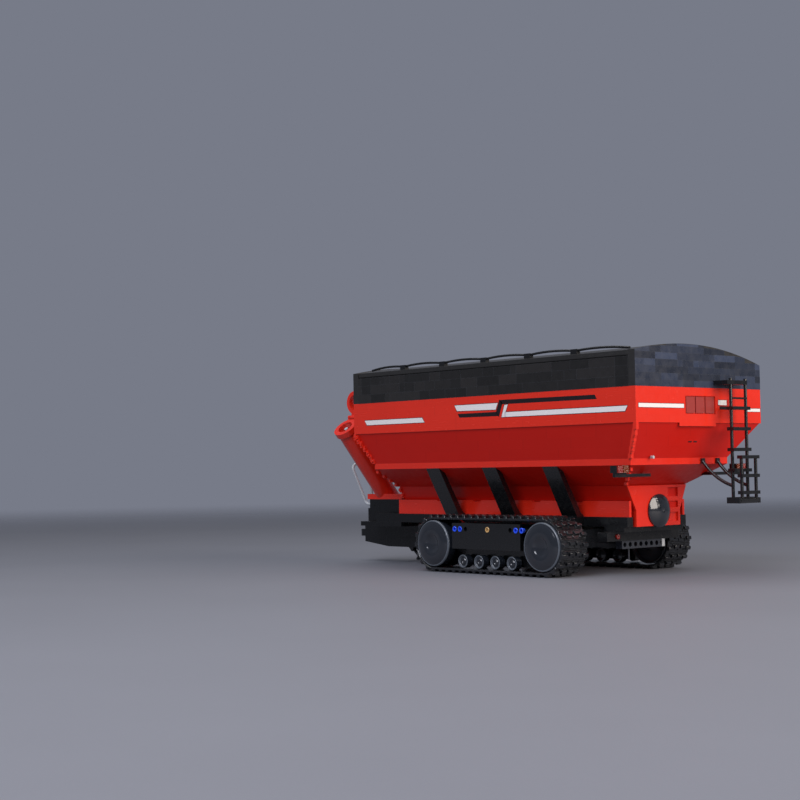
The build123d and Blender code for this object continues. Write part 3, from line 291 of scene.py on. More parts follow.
# Roof boards and cover of charcoal bricks.
charcoal = moulded_abs("moulded_abs_charcoal", "262524", roughness=0.34, seam=roof_bricks, line=0.3,
                       tone=0.06, wear=0.4, dust=0.06)
# Near-black blue-grey of the dishes and wheels, and a paler grey round their rims that is a painted
# highlight.
blue_grey = moulded_abs("moulded_abs_blue_grey", "20242B", roughness=0.12, wear=0.4, coat=0.6)
painted_rim_highlight = moulded_abs("moulded_abs_pale_edge", "565C64", roughness=0.2, wear=0.4, coat=0.3)
# Dark grey of the arm under the rear crossbeam, made darker than the part's own dark grey as painted shade.
dark_grey_painted_shade = moulded_abs("moulded_abs_dark_grey", "2E3138", roughness=0.24)
# Light grey drive stub, hose and screws.
light_grey = moulded_abs("moulded_abs_light_grey", "B4B8BC", roughness=0.24)
# Blue friction pins.
blue_pin = moulded_abs("moulded_abs_blue", "2A58EE", roughness=0.2)
# Tan pin at the track's pivot.
tan_pin = moulded_abs("moulded_abs_tan", "C79F66", roughness=0.3)
# Hard plastic track links, glossy on their faces.
track_plastic = moulded_abs("moulded_plastic_track", "15171B", roughness=0.22, tone=0.14, wear=0.9, dust=0.03,
                            coat=0.45)
print("materials", len(bpy.data.materials))

# %% [markdown]
# ## Other materials
# Printed film for the stripes, clear plastic for panes and lenses, and the floor.

# %% Other materials


def printed_film(name, colour):
    """Thin glossy printed film, with faint print grain and a slightly uneven gloss."""
    material, tree, output = start_material(name)
    coords = object_coords(tree)
    shade = remap(tree, noise(tree, coords, 1400.0, 2.0), 0.3, 0.7, 0.95, 1.02)
    waves = noise(tree, coords, 90.0, 2.0)
    cover(tree, output, {
        "Base Color": tinted(tree, colour, shade), "Roughness": remap(tree, waves, 0.3, 0.7, 0.22, 0.36),
        "Normal": bumped(tree, waves, 0.2 * MM, 0.25),
    })
    return material


def clear_plastic(name, colour, transmission=0.7, lens=0.0):
    """Tinted clear plastic. A lens has fine moulded ribs inside."""
    material, tree, output = start_material(name)
    coords = object_coords(tree)
    haze = noise(tree, coords, 220.0, 3.0)
    ribs = node(tree, "ShaderNodeTexWave", {"Vector": coords, "Scale": 330.0, "Distortion": 0.0},
                bands_direction="Y")
    cover(tree, output, {
        "Base Color": linear(colour), "Roughness": remap(tree, haze, 0.3, 0.7, 0.06, 0.16),
        "Normal": bumped(tree, ribs.outputs[1], 0.3 * MM, lens),
        "Transmission Weight": transmission, "IOR": 1.49,
    })
    return material


def studio_floor(name, colour, fade_start=1.0, fade_end=3.6):
    """Matte studio paper with a faint mottle. It fades into the backdrop between two distances
    from the origin, so that no horizon shows."""
    material, tree, output = start_material(name)
    coords = object_coords(tree)
    shade = remap(tree, noise(tree, coords, 5.0, 5.0), 0.25, 0.75, 0.97, 1.03)
    fibre = noise(tree, coords, 800.0, 3.0)
    surface = node(tree, "ShaderNodeBsdfPrincipled", {
        "Base Color": tinted(tree, colour, shade), "Roughness": 0.62,
        "Normal": bumped(tree, fibre, 0.3 * MM, 0.3),
    })
    away = node(tree, "ShaderNodeVectorMath", {0: coords}, operation="LENGTH").outputs["Value"]
    fade = remap(tree, away, fade_start, fade_end, 0.0, 1.0, interpolation_type="SMOOTHSTEP")
    clear = node(tree, "ShaderNodeBsdfTransparent")
    mixed = node(tree, "ShaderNodeMixShader", {0: fade, 1: surface.outputs[0], 2: clear.outputs[0]})
    tree.links.new(mixed.outputs[0], output.inputs["Surface"])
    return material


white_film = printed_film("printed_film_white", "E9E4E2")
black_film = printed_film("printed_film_black", "1D1418")
pane_plastic = clear_plastic("clear_plastic_pane", "B94B45", transmission=0.35)
amber_plastic = clear_plastic("clear_plastic_amber", "B8501A", lens=0.6)
red_plastic = clear_plastic("clear_plastic_red", "9A1E16", transmission=0.4, lens=0.6)
studio_paper = studio_floor("studio_paper", "72747C")
print("materials", len(bpy.data.materials))

# %% [markdown]
# ## Materials on the CAD nodes
# Every CAD node keeps its mesh. It gets its material, and a narrow bevel that catches the light
# as moulded edges do.

# %% Dress the CAD nodes


def soften_edges(piece, width):
    """A narrow bevel on the piece's sharp edges."""
    bevel = piece.modifiers.new("moulded_edges", "BEVEL")
    bevel.width = width
    bevel.segments = 2
    bevel.limit_method = "ANGLE"
    bevel.angle_limit = radians(40)
    bevel.harden_normals = True


dress = {
    red_wall: ["band_left", "band_right", "band_rear", "band_front"],
    red_slope_painted_shade: ["slope_left", "slope_right", "slope_rear", "slope_front", "lower_shell"],
    red_part: ["ridge_rail", "sump_trough", "sump_skirts", "sump_rear_panel", "corner_steps",
               "lower_auger_tube", "upper_auger_tube"],
    charcoal: ["roof_boards", "roof_cover"],
    black_beam: ["frame_rails", "cross_members", "rear_crossbeam", "auger_boot", "drawbar"],
    black_part: ["ribs", "ladder", "ladder_fold", "lamp_brackets", "parking_jack", "track_frame_left",
                 "track_frame_right", "discharge_spout", "roof_hose_line"],
    blue_grey: ["bearing_dish"],
    dark_grey_painted_shade: ["perforated_arm"],
    light_grey: ["pto_shaft", "hydraulic_hose"],
    pane_plastic: ["window_panes"],
    amber_plastic: ["lenses_amber"],
    red_plastic: ["lenses_red"],
}
thin_edges = ["window_panes", "lenses_amber", "lenses_red", "hydraulic_hose", "roof_hose_line"]
for material, names in dress.items():
    for name in names:
        piece = frame["nodes"][name]
        for place in piece.material_slots:
            place.material = material
        if name not in thin_edges:
            soften_edges(piece, 0.25 * MM)
print("dressed", sum(len(names) for names in dress.values()))

# %% [markdown]
# ## Mesh helpers
# New pieces are made in real size at their place, so their objects stay at the origin.

# %% Helpers for meshes


def publish(name, mesh, body, materials, smooth=35, bevel=0.0):
    """Turns a bmesh into an object that rides on a body."""
    bmesh.ops.remove_doubles(mesh, verts=mesh.verts, dist=1e-7)
    bmesh.ops.recalc_face_normals(mesh, faces=mesh.faces)
    data = bpy.data.meshes.new(name)
    mesh.to_mesh(data)
    mesh.free()
    for material in materials:
        data.materials.append(material)
    piece = bpy.data.objects.new(name, data)
    bpy.context.scene.collection.objects.link(piece)
    data.shade_smooth()
    data.set_sharp_from_angle(angle=radians(smooth))
    if bevel:
        soften_edges(piece, bevel)
    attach(piece, body)
    return piece


def add_box(mesh, centre, size, turn=None):
    """Adds a box to a bmesh and returns its corners."""
    place = Matrix.Translation(centre) @ (turn or Matrix()) @ Matrix.Diagonal((*size, 1.0))
    return bmesh.ops.create_cube(mesh, size=1.0, matrix=place)["verts"]


def add_turned(mesh, profile, centre, axis, steps=64):
    """Spins a profile of (radius, distance along the axis) about an axis and returns its faces."""
    axis = Vector(axis).normalized()
    side = axis.orthogonal().normalized()
    before = set(mesh.faces)
    points = [mesh.verts.new(Vector(centre) + axis * along + side * radius) for radius, along in profile]
    edges = [mesh.edges.new(pair) for pair in zip(points, points[1:])]
    bmesh.ops.spin(mesh, geom=points + edges, cent=centre, axis=axis, angle=2 * pi, steps=steps,
                   use_merge=True)
    return [face for face in mesh.faces if face not in before]


def add_plate(mesh, outline, origin, along, rise, thickness):
    """Adds a flat plate whose outline is given along two directions from an origin."""
    out = Vector(along).cross(Vector(rise)).normalized()
    points = [mesh.verts.new(Vector(origin) + Vector(along) * a + Vector(rise) * b) for a, b in outline]
    face = mesh.faces.new(points)
    grown = bmesh.ops.extrude_face_region(mesh, geom=[face])
    moved = [item for item in grown["geom"] if isinstance(item, bmesh.types.BMVert)]
    bmesh.ops.translate(mesh, verts=moved, vec=out * thickness)


# %% [markdown]
# ## Dishes and road wheels
# The idlers carry large dishes with a shallow round hub, and the road wheels have a stepped rim.
# Both are turned with the same profiles as the CAD, finer and with softened edges.

# %% Dishes and road wheels
# How far the painted highlight reaches in from a wheel's rim and across its face.
RIM_HIGHLIGHT_WIDTH = 1.75 * MM
RIM_HIGHLIGHT_DEPTH = 3.6 * MM


def rounded(profile, radius=0.35 * MM):
    """Softens the corners of a profile by cutting each with two points."""
    soft = [profile[0]]
    for before, corner, after in zip(profile, profile[1:], profile[2:]):
        corner = Vector(corner)
        for other in (before, after):
            leg = Vector(other) - corner
            soft.append(tuple(corner + leg.normalized() * min(radius, leg.length * 0.4)))
    soft.append(profile[-1])
    return soft


def wheel_piece(side, name, profile, replaced):
    """Turns a wheel about its CAD node's axle and lets it ride on that node's body.
    Its outer rim is painted paler all round, as a highlight."""
    low, high = span(replaced)
    centre = Vector(((low.x + high.x) / 2, 0.0, (low.z + high.z) / 2))
    mesh = bmesh.new()
    mirrored = 1 if side == "left" else -1
    add_turned(mesh, rounded(profile), centre, (0, mirrored, 0), steps=72)
    outermost = max(radius for radius, _ in profile)
    face = max(along for _, along in profile)
    # Faces round the outer rim take the paler material: a painted highlight.
    for part in mesh.faces:
        offset = part.calc_center_median() - centre
        if hypot(offset.x, offset.z) > outermost - RIM_HIGHLIGHT_WIDTH and abs(offset.y) > face - RIM_HIGHLIGHT_DEPTH:
            part.material_index = 1
    piece = publish(name, mesh, f"{replaced}_body", [blue_grey, painted_rim_highlight])
    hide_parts(replaced)


idler_low, idler_high = span("idler_rear_left")
idler_radius = (idler_high.z - idler_low.z) / 2
inner_face = idler_low.y
outer_face = idler_high.y
frame_low, frame_high = span("track_frame_left")
spine_middle = (frame_low.y + frame_high.y) / 2
# Between its two dishes an idler narrows to a hub, where the spine of the track frame passes.
hub_side = 4.4 * MM
hub_radius = 3.95 * MM
cone_radius = 12 * MM
hub_inner = spine_middle - hub_side
hub_outer = spine_middle + hub_side
cone_depth = 3 * MM
idler_profile = [
    (0, inner_face + 1.0 * MM), (9 * MM, inner_face + 1.0 * MM), (11 * MM, inner_face + 3.4 * MM),
    (idler_radius - 2.6 * MM, inner_face + 3.4 * MM), (idler_radius - 1.6 * MM, inner_face),
    (idler_radius, inner_face + 0.5 * MM), (idler_radius, hub_inner - cone_depth),
    (cone_radius, hub_inner), (hub_radius, hub_inner), (hub_radius, hub_outer),
    (cone_radius, hub_outer), (idler_radius, hub_outer + cone_depth),
    (idler_radius, outer_face - 3.4 * MM), (idler_radius - 0.5 * MM, outer_face - 2.2 * MM),
    (idler_radius - 1.5 * MM, outer_face - 1.7 * MM), (idler_radius - 1.9 * MM, outer_face - 2.2 * MM),
    (20.6 * MM, outer_face - 1.1 * MM), (17.5 * MM, outer_face - 0.3 * MM), (14.5 * MM, outer_face),
    (11.5 * MM, outer_face - 0.1 * MM), (9.6 * MM, outer_face - 0.5 * MM), (8.4 * MM, outer_face - 1.4 * MM),
    (6.5 * MM, outer_face - 2.1 * MM), (3.4 * MM, outer_face - 2.5 * MM), (0, outer_face - 2.6 * MM),
]
wheel_low, wheel_high = span("road_wheel_1_left")
wheel_radius = (wheel_high.z - wheel_low.z) / 2
wheel_inner = wheel_low.y
wheel_outer = wheel_high.y
# A road wheel is two rims on one axle.
rim_width = 8.6 * MM
axle_radius = 2.35 * MM
wheel_profile = [
    (0, wheel_inner + 1.2 * MM), (4.6 * MM, wheel_inner + 1.2 * MM), (5.2 * MM, wheel_inner),
    (wheel_radius, wheel_inner), (wheel_radius, wheel_inner + rim_width),
    (axle_radius, wheel_inner + rim_width), (axle_radius, wheel_outer - rim_width),
    (wheel_radius, wheel_outer - rim_width), (wheel_radius, wheel_outer - 0.3 * MM),
    (5.7 * MM, wheel_outer), (5.2 * MM, wheel_outer - 1.5 * MM), (3.6 * MM, wheel_outer - 1.8 * MM),
    (2.9 * MM, wheel_outer - 0.7 * MM), (1.9 * MM, wheel_outer - 0.5 * MM),
    (1.2 * MM, wheel_outer - 1.6 * MM), (0, wheel_outer - 1.7 * MM),
]
for side in ("left", "right"):
    for end in ("front", "rear"):
        wheel_piece(side, f"idler_dish_{end}_{side}", idler_profile, f"idler_{end}_{side}")
    for number in range(1, 5):
        wheel_piece(side, f"wheel_{number}_{side}", wheel_profile, f"road_wheel_{number}_{side}")
print("wheels", 12, "idler radius", round(idler_radius, 4))

# %% [markdown]
# ## Track links
# Each belt is a chain of moulded links. A link has a base plate, a hinge barrel to the next link,
# and a grouser bar of four tapered blocks.

# %% Track links
belt_low, belt_high = span("track_belt_left")
belt_width = belt_high.y - belt_low.y
belt_outer = (belt_high.z - belt_low.z) / 2
belt_middle = (belt_low + belt_high) / 2
idler_spacing = middle("idler_front_left").x - middle("idler_rear_left").x
grouser_height = 2.6 * MM
base_thickness = 2.2 * MM
base_radius = belt_outer - grouser_height
link_count = 48
# The four blocks of a link: the middle two stand ahead of the outer two, and all taper upwards.
block_count = 4
block_gap = 2.0 * MM
block_lead = 0.9 * MM
block_root = 0.5 * MM
block_length = 4.6 * MM
barrel_radius = 1.05 * MM
loop_length = 2 * idler_spacing + 2 * pi * base_radius
link_pitch = loop_length / link_count


def loop_place(distance):
    """Place and outward turn of a point that far round the belt's base, from its front top."""
    half_turn = pi * base_radius
    distance = distance % loop_length
    if distance < half_turn:
        angle = distance / base_radius
        return idler_spacing / 2 + base_radius * sin(angle), base_radius * cos(angle), angle
    distance -= half_turn
    if distance < idler_spacing:
        return idler_spacing / 2 - distance, -base_radius, pi
    distance -= idler_spacing
    if distance < half_turn:
        angle = pi + distance / base_radius
        return -idler_spacing / 2 + base_radius * sin(angle), base_radius * cos(angle), angle
    return -idler_spacing / 2 + distance - half_turn, base_radius, 0.0


def link_template():
    """One link, with its base's top at the origin, its length along X and its width along Y."""
    mesh = bmesh.new()
    add_box(mesh, (0, 0, -base_thickness / 2), (link_pitch * 0.78, belt_width * 0.985, base_thickness * 0.9))
    for sign in (-1, 1):
        add_box(mesh, (0, sign * belt_width * 0.475, -base_thickness * 0.35),
                (link_pitch * 0.92, belt_width * 0.05, base_thickness * 0.6))
    width = (belt_width - block_gap * (block_count - 1)) / block_count
    for column in range(block_count):
        y = (column - (block_count - 1) / 2) * (width + block_gap)
        lead = block_lead if column in (1, 2) else -block_lead
        block = add_box(mesh, (lead, y, (grouser_height - block_root) / 2),
                        (block_length, width, grouser_height + block_root))
        for corner in block:
            if corner.co.z > 0:
                corner.co.x = lead + (corner.co.x - lead) * 0.72
                corner.co.y = y + (corner.co.y - y) * 0.9
    # A low web joins each pair of blocks.
    for column in range(block_count - 1):
        y = (column - 1) * (width + block_gap)
        add_box(mesh, (0, y, 0.35 * MM), (link_pitch * 0.7, 1.6 * MM, 0.9 * MM))
    return mesh


template = link_template()
bmesh.ops.bevel(template, geom=template.edges[:], offset=0.22 * MM, segments=1, profile=0.5, affect="EDGES",
                material=-1)
template_data = bpy.data.meshes.new("track_link_template")
template.to_mesh(template_data)
template.free()
for side, sign in (("left", 1), ("right", -1)):
    belt = bmesh.new()
    centre = Vector((belt_middle.x, sign * belt_middle.y, belt_middle.z))
    for number in range(link_count):
        along, rise, angle = loop_place((number + 0.5) * link_pitch)
        link = template_data.copy()
        link.transform(Matrix.Translation(centre + Vector((along, 0, rise))) @ Matrix.Rotation(angle, 4, "Y"))
        belt.from_mesh(link)
        bpy.data.meshes.remove(link)
        along, rise, angle = loop_place(number * link_pitch)
        inward = Vector((-sin(angle), 0, -cos(angle))) * (base_thickness / 2)
        pin = Matrix.Translation(centre + Vector((along, 0, rise)) + inward) @ Matrix.Rotation(pi / 2, 4, "X")
        bmesh.ops.create_cone(belt, cap_ends=True, segments=10, radius1=barrel_radius, radius2=barrel_radius,
                              depth=belt_width * 0.97, matrix=pin)
    chain = publish(f"track_chain_{side}", belt, f"track_{side}", [track_plastic])
    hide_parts(f"track_belt_{side}")
print("links", 2 * link_count, "pitch", round(link_pitch, 5))

# %% [markdown]
# ## Pins in the track plates
# A pin's head is a thin collar round a hollow, and the pivot pin carries a cross-shaped axle hole.

# %% Pins in the track plates


def add_pin_head(mesh, centre, outward):
    """A hollow pin with a rounded collar."""
    profile = [(1.7 * MM, -2.6 * MM), (1.7 * MM, 0.55 * MM), (2.1 * MM, 0.75 * MM), (2.5 * MM, 0.75 * MM),
               (2.8 * MM, 0.5 * MM), (2.85 * MM, 0.05 * MM), (2.35 * MM, 0.0), (2.35 * MM, -2.9 * MM)]
    add_turned(mesh, profile, centre, outward, steps=28)
    floor = [(0, -2.5 * MM), (1.75 * MM, -2.5 * MM)]
    add_turned(mesh, floor, centre, outward, steps=28)


for side, sign in (("left", 1), ("right", -1)):
    pins_low, pins_high = span(f"plate_pins_{side}")
    face = (pins_high.y if sign > 0 else pins_low.y) - sign * 0.9 * MM
    pivot = middle(f"pivot_pin_{side}")
    mesh = bmesh.new()
    for steps in (-6, -5, 5, 6):
        add_pin_head(mesh, Vector((pivot.x + steps * MODULE, face, pivot.z)), (0, sign, 0))
    pins = publish(f"friction_pins_{side}", mesh, f"track_{side}", [blue_pin])
    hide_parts(f"plate_pins_{side}")
    mesh = bmesh.new()
    add_pin_head(mesh, Vector((pivot.x, face, pivot.z)), (0, sign, 0))
    for size in ((1.0 * MM, 0.6 * MM, 3.2 * MM), (3.2 * MM, 0.6 * MM, 1.0 * MM)):
        add_box(mesh, Vector((pivot.x, face - sign * 0.4 * MM, pivot.z)), size)
    pin = publish(f"pivot_axle_{side}", mesh, f"track_{side}", [tan_pin])
    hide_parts(f"pivot_pin_{side}")
print("pins", 10)

# %% [markdown]
# ## Auger screws
# The CAD's slanting discs stand for a continuous flight. Here each flight is one helix round its shaft.

# %% Auger screws


def screw_piece(name, replaced, body, start, end, flight, shaft=2.2 * MM, pitch=14 * MM, bare=3 * MM):
    """A shaft with one continuous flight. A length at each of its ends is bare."""
    start, end = Vector(start), Vector(end)
    axis = (end - start).normalized()
    length = (end - start).length
    side = axis.orthogonal().normalized()
    mesh = bmesh.new()
    add_turned(mesh, [(0, 0), (shaft, 0), (shaft, length), (0, length)], start, axis, steps=24)
    turns = (length - 2 * bare) / pitch
    foot = start + axis * bare
    half = 0.5 * MM
    ring = [foot + side * shaft * 0.8 - axis * half, foot + side * flight - axis * half * 0.6,
            foot + side * flight + axis * half * 0.6, foot + side * shaft * 0.8 + axis * half]
    points = [mesh.verts.new(point) for point in ring]
    edges = [mesh.edges.new((points[i], points[(i + 1) % 4])) for i in range(4)]
    steps = int(turns * 36)
    bmesh.ops.spin(mesh, geom=points + edges, cent=start, axis=axis, angle=2 * pi * turns, steps=steps,
                   dvec=axis * (turns * pitch / steps))
    bmesh.ops.holes_fill(mesh, edges=[edge for edge in mesh.edges if edge.is_boundary], sides=4)
    piece = publish(name, mesh, body, [light_grey])
    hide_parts(replaced)


joints = {joint["name"]: joint for joint in frame["record"]["behaviour"]["joints"]}


def screw_ends(joint_name, replaced):
    """Where a screw's shaft starts and ends: its node's box, followed along its joint's axis."""
    joint = joints[joint_name]
    origin = Vector(joint["pos_m"])
    axis = Vector(joint["axis"]).normalized()
    vertices = [Vector(v.co) for v in frame["nodes"][replaced].data.vertices]
    reach = [(v - origin).dot(axis) for v in vertices if (v - origin).cross(axis).length < 2.4 * MM]
    return origin + axis * min(reach), origin + axis * max(reach)


for joint_name, replaced, body, flight in (
        ("lower_screw_turns", "lower_auger_screw", "lower_screw", 7.9 * MM),
        ("upper_screw_turns", "upper_auger_screw", "upper_screw", 7.9 * MM),
        ("drive_line_turns", "sump_auger_screw", "drive_line", 8.9 * MM)):
    first, last = screw_ends(joint_name, replaced)
    screw_piece(f"helix_{replaced}", replaced, body, first, last, flight)
print("screws", 3)

# %% [markdown]
# ## Printed stripes
# Plain stripes run along the band. Each white one lies on a slightly larger dark one.

# %% Printed stripes
film = 0.05 * MM


def stripe(mesh, corners, origin, along, rise, lift):
    """One stripe as a thin plate, given as corners in millimetres."""
    out = Vector(along).cross(Vector(rise)).normalized()
    add_plate(mesh, [(a * MM, b * MM) for a, b in corners], Vector(origin) + out * lift, along, rise, film)


def outlined(corners, margin=0.55):
    """The same shape, grown by a margin away from its middle."""
    centre_a = sum(a for a, _ in corners) / len(corners)
    centre_b = sum(b for _, b in corners) / len(corners)
    return [(a + margin * (1 if a > centre_a else -1), b + margin * (1 if b > centre_b else -1))
            for a, b in corners]


# Corners are given as (distance ahead of the hopper's rear face, height) on the sides, and as
# (distance to the left of the middle, height) at the rear, all in millimetres.
side_white = [
    [(387.3, 161.0), (383.5, 156.0), (289.0, 156.0), (292.8, 161.0)],
    [(242.0, 171.7), (238.6, 165.9), (181.9, 165.2), (178.8, 171.7)],
    [(169.4, 169.2), (173.8, 157.4), (168.6, 157.4), (168.2, 162.1), (164.6, 169.8)],
    [(168.9, 162.1), (169.0, 157.4), (13.0, 157.2), (9.8, 162.1)],
]
side_dark = [
    [(237.7, 162.9), (235.0, 159.0), (178.0, 158.6), (181.3, 162.9)],
    [(181.6, 162.4), (177.5, 157.6), (172.1, 171.3), (176.6, 175.0)],
    [(176.6, 174.6), (173.0, 170.2), (47.0, 169.8), (49.6, 174.0)],
]
rear_white = [
    [(90.4, 164.2), (25.2, 164.2), (25.2, 160.5), (90.4, 160.5)],
    [(-27.0, 168.6), (-40.0, 168.6), (-40.0, 163.8), (-27.0, 163.8)],
    [(-73.0, 161.0), (-93.4, 161.0), (-93.4, 158.0), (-73.0, 158.0)],
]
rear_dark = [[(-29.0, 162.8), (-46.0, 162.8), (-46.0, 159.5), (-29.0, 159.5)]]

white_stripes = bmesh.new()
dark_stripes = bmesh.new()
for side in (1, -1):
    # Both sides are seen from outside with the same outline, so one is turned over.
    origin = Vector((hopper_rear, side * hopper_side, 0))
    along, rise = Vector((-side, 0, 0)), Vector((0, 0, 1))
    for corners in side_white:
        shape = [(-side * a, b) for a, b in corners]
        stripe(dark_stripes, outlined(shape), origin, along, rise, 0.0)
        stripe(white_stripes, shape, origin, along, rise, film)
    for corners in side_dark:
        stripe(dark_stripes, [(-side * a, b) for a, b in corners], origin, along, rise, 0.0)
rear_origin = Vector((hopper_rear, 0, 0))
for corners in rear_white:
    shape = [(-a, b) for a, b in corners]
    stripe(dark_stripes, outlined(shape, 0.4), rear_origin, (0, -1, 0), (0, 0, 1), 0.0)
    stripe(white_stripes, shape, rear_origin, (0, -1, 0), (0, 0, 1), film)
for corners in rear_dark:
    stripe(dark_stripes, [(-a, b) for a, b in corners], rear_origin, (0, -1, 0), (0, 0, 1), 0.0)
for name, mesh, material in (("stripes_white", white_stripes, white_film),
                             ("stripes_dark", dark_stripes, black_film)):
    stripes = publish(name, mesh, "cart", [material], smooth=10)
print("stripes", 2 * (len(side_white) + len(side_dark)) + len(rear_white) + len(rear_dark))

# %% [markdown]
# ## Roof tiles
# The roof's boards and end caps are faced with charcoal tiles of many lengths. Each lies
# a little higher or lower than its neighbours, so that the caps look like patchwork.

# %% Roof tiles
# The end caps' arch: its height at the left end, the right end and the peak.
cap_left = 213.7 * MM
cap_right = 204.1 * MM
cap_peak = 221.2 * MM
cap_peak_y = 25.0 * MM


def arch_height(y):
    """Height of the end caps' arch: the circle through its two ends and its peak."""
    (ax, az), (bx, bz), (cx, cz) = (hopper_side, cap_left), (cap_peak_y, cap_peak), (-hopper_side, cap_right)
    a, b, c = ax ** 2 + az ** 2, bx ** 2 + bz ** 2, cx ** 2 + cz ** 2
    scale = 2 * (ax * (bz - cz) + bx * (cz - az) + cx * (az - bz))
    centre_y = (a * (bz - cz) + b * (cz - az) + c * (az - bz)) / scale
    centre_z = (a * (cx - bx) + b * (ax - cx) + c * (bx - ax)) / scale
    radius = sqrt((ax - centre_y) ** 2 + (az - centre_z) ** 2)
    return centre_z + sqrt(radius ** 2 - (y - centre_y) ** 2)


tones = random.Random(7)
tile_gap = 0.12 * MM
least_height = 0.3 * MM


def tile_rows(start, end, bottom, top_at, rows=PLATE):
    """Tiles of one to six studs in rows, trimmed to a top edge: (left, right, low, top left, top right)."""
    tiles = []
    height = bottom
    highest = max(top_at(start + (end - start) * i / 40) for i in range(41))
    while height < highest - least_height:
        place = start
        while place < end - 0.4 * MM:
            reach = min(end, place + MODULE * tones.choice((1, 2, 2, 3, 4, 6)))
            if end - reach < MODULE * 0.6:
                reach = end
            left_top = min(height + rows, top_at(place))
            right_top = min(height + rows, top_at(reach))
            if min(left_top, right_top) > height + least_height:
                tiles.append((place, reach, height, left_top, right_top))
            place = reach
        height += rows
    return tiles


def lay_tiles(mesh, tiles, to_world, out):
    """Lays tiles on a wall, each with its own tone and height above the wall."""
    tone = mesh.faces.layers.float.get("tone") or mesh.faces.layers.float.new("tone")
    inset = tile_gap / 2
    for left, right, low, left_top, right_top in tiles:
        outline = [(left + inset, low + inset), (right - inset, low + inset),
                   (right - inset, right_top - inset), (left + inset, left_top - inset)]
        before = set(mesh.faces)
        points = [mesh.verts.new(to_world(a, b)) for a, b in outline]
        face = mesh.faces.new(points)
        grown = bmesh.ops.extrude_face_region(mesh, geom=[face])
        lift = tones.uniform(0.16, 0.3) * MM
        bmesh.ops.translate(mesh, verts=[v for v in grown["geom"] if isinstance(v, bmesh.types.BMVert)],
                            vec=Vector(out) * lift)
        value = tones.random()
        for made in mesh.faces:
            if made not in before:
                made[tone] = value


def tile_plastic(name, dark, light):
    """Moulded ABS tiles whose tone comes from each tile's own value, with uneven gloss and edges painted
    paler as a highlight.
    """
    material, tree, output = start_material(name)
    coords = object_coords(tree)
    own = node(tree, "ShaderNodeAttribute", attribute_name="tone", attribute_type="GEOMETRY")
    pick = maths(tree, "POWER", own.outputs["Fac"], 1.5)
    base = blend(tree, pick, linear(dark), linear(light))
    rough = remap(tree, noise(tree, coords, 140.0, 4.0), 0.3, 0.75, 0.22, 0.42)
    facing = node(tree, "ShaderNodeNewGeometry").outputs["Normal"]
    # Edges are blended towards a pale blue-grey: a painted highlight.
    edge_wear_and_highlight = remap(tree, edge_turn(tree, facing, 0.4 * MM), 0.98, 0.75, 0.0, 0.35)
    grain = noise(tree, coords, GRAIN_SCALE, 2.0)
    cover(tree, output, {
        "Base Color": blend(tree, edge_wear_and_highlight, base, linear("6C7078")), "Roughness": rough,
        "Normal": bumped(tree, grain, 0.2 * MM, 0.15), "Coat Weight": 0.2, "Coat Roughness": 0.15,
    })
    return material


# The caps are black bricks: the blue tint of their tiles is a painted sheen, and their tones differ at
# random.
cap_tile = tile_plastic("moulded_abs_cap_tiles", "1C212D", "363F54")
side_tile = tile_plastic("moulded_abs_side_tiles", "191817", "262423")
# Height of the side boards' tops, left (1) and right (-1), and the bare length at their ends.
side_board_top = {1: 208.0 * MM, -1: 198.4 * MM}
board_end = 8 * MM
cap_tiles = bmesh.new()
for end_x, out in ((hopper_rear, -1), (hopper_front, 1)):
    rows = tile_rows(-hopper_side, hopper_side, band_roof, arch_height, rows=2 * PLATE)
    lay_tiles(cap_tiles, rows, lambda a, b, x=end_x: Vector((x, a, b)), (out, 0, 0))
side_tiles = bmesh.new()
for sign in (1, -1):
    top = side_board_top[sign]
    rows = tile_rows(hopper_rear + board_end, hopper_front - board_end, band_roof, lambda a, t=top: t,
                     rows=BRICK)
    lay_tiles(side_tiles, rows, lambda a, b, s=sign: Vector((a, s * hopper_side, b)), (0, sign, 0))
for name, mesh, material in (("cap_tiles", cap_tiles, cap_tile), ("side_tiles", side_tiles, side_tile)):
    laid = publish(name, mesh, "cart", [material], smooth=20)
    print(name, len(laid.data.polygons) // 6)

# %% [markdown]
# ## Corner studs and small fittings
# Stepped plates run down the hopper's left corners, with studs at the front one. Two dark latches lie in
# the rear slope, a light grey plate over the end of the arm under the rear crossbeam is a painted highlight,
# and a short pin stands out of the rear slope.

# %% Corner studs and small fittings


def stepped_plates(mesh, start, end, count, studs):
    """Plates one above another from start to end, given as (station, y, z), with or without studs."""
    start = Vector((station(start[0]), start[1] * MM, start[2] * MM))
    end = Vector((station(end[0]), end[1] * MM, end[2] * MM))
    outward = Vector((0, 1, 0))
    turn = Vector((0, 0, 1)).rotation_difference(outward).to_matrix().to_4x4()
    for i in range(count):
        place = start.lerp(end, (i + 0.5) / count)
        add_box(mesh, place, (PLATE, PLATE, abs(start.z - end.z) / count - 0.25 * MM))
        if studs:
            seat = Matrix.Translation(place + outward * 2.3 * MM) @ turn
            bmesh.ops.create_cone(mesh, cap_ends=True, segments=20, radius1=stud_radius, radius2=stud_radius,
                                  depth=1.6 * MM, matrix=seat)


stud_radius = 1.9 * MM
corner_runs = [
    ((404.2, 92.4, 146.0), (387.4, 80.2, 113.5), 5, True),
    ((386.6, 79.6, 107.0), (386.6, 45.0, 87.5), 4, True),
    ((386.6, 44.6, 87.0), (386.6, 39.0, 74.5), 2, True),
    ((2.2, 92.6, 146.0), (19.2, 80.6, 113.5), 5, False),
    ((20.4, 79.0, 106.5), (56.0, 46.0, 88.0), 4, False),
]
studs = bmesh.new()
for start, end, count, with_studs in corner_runs:
    stepped_plates(studs, start, end, count, with_studs)
stud_piece = publish("corner_studs", studs, "cart", [red_part], bevel=0.2 * MM)

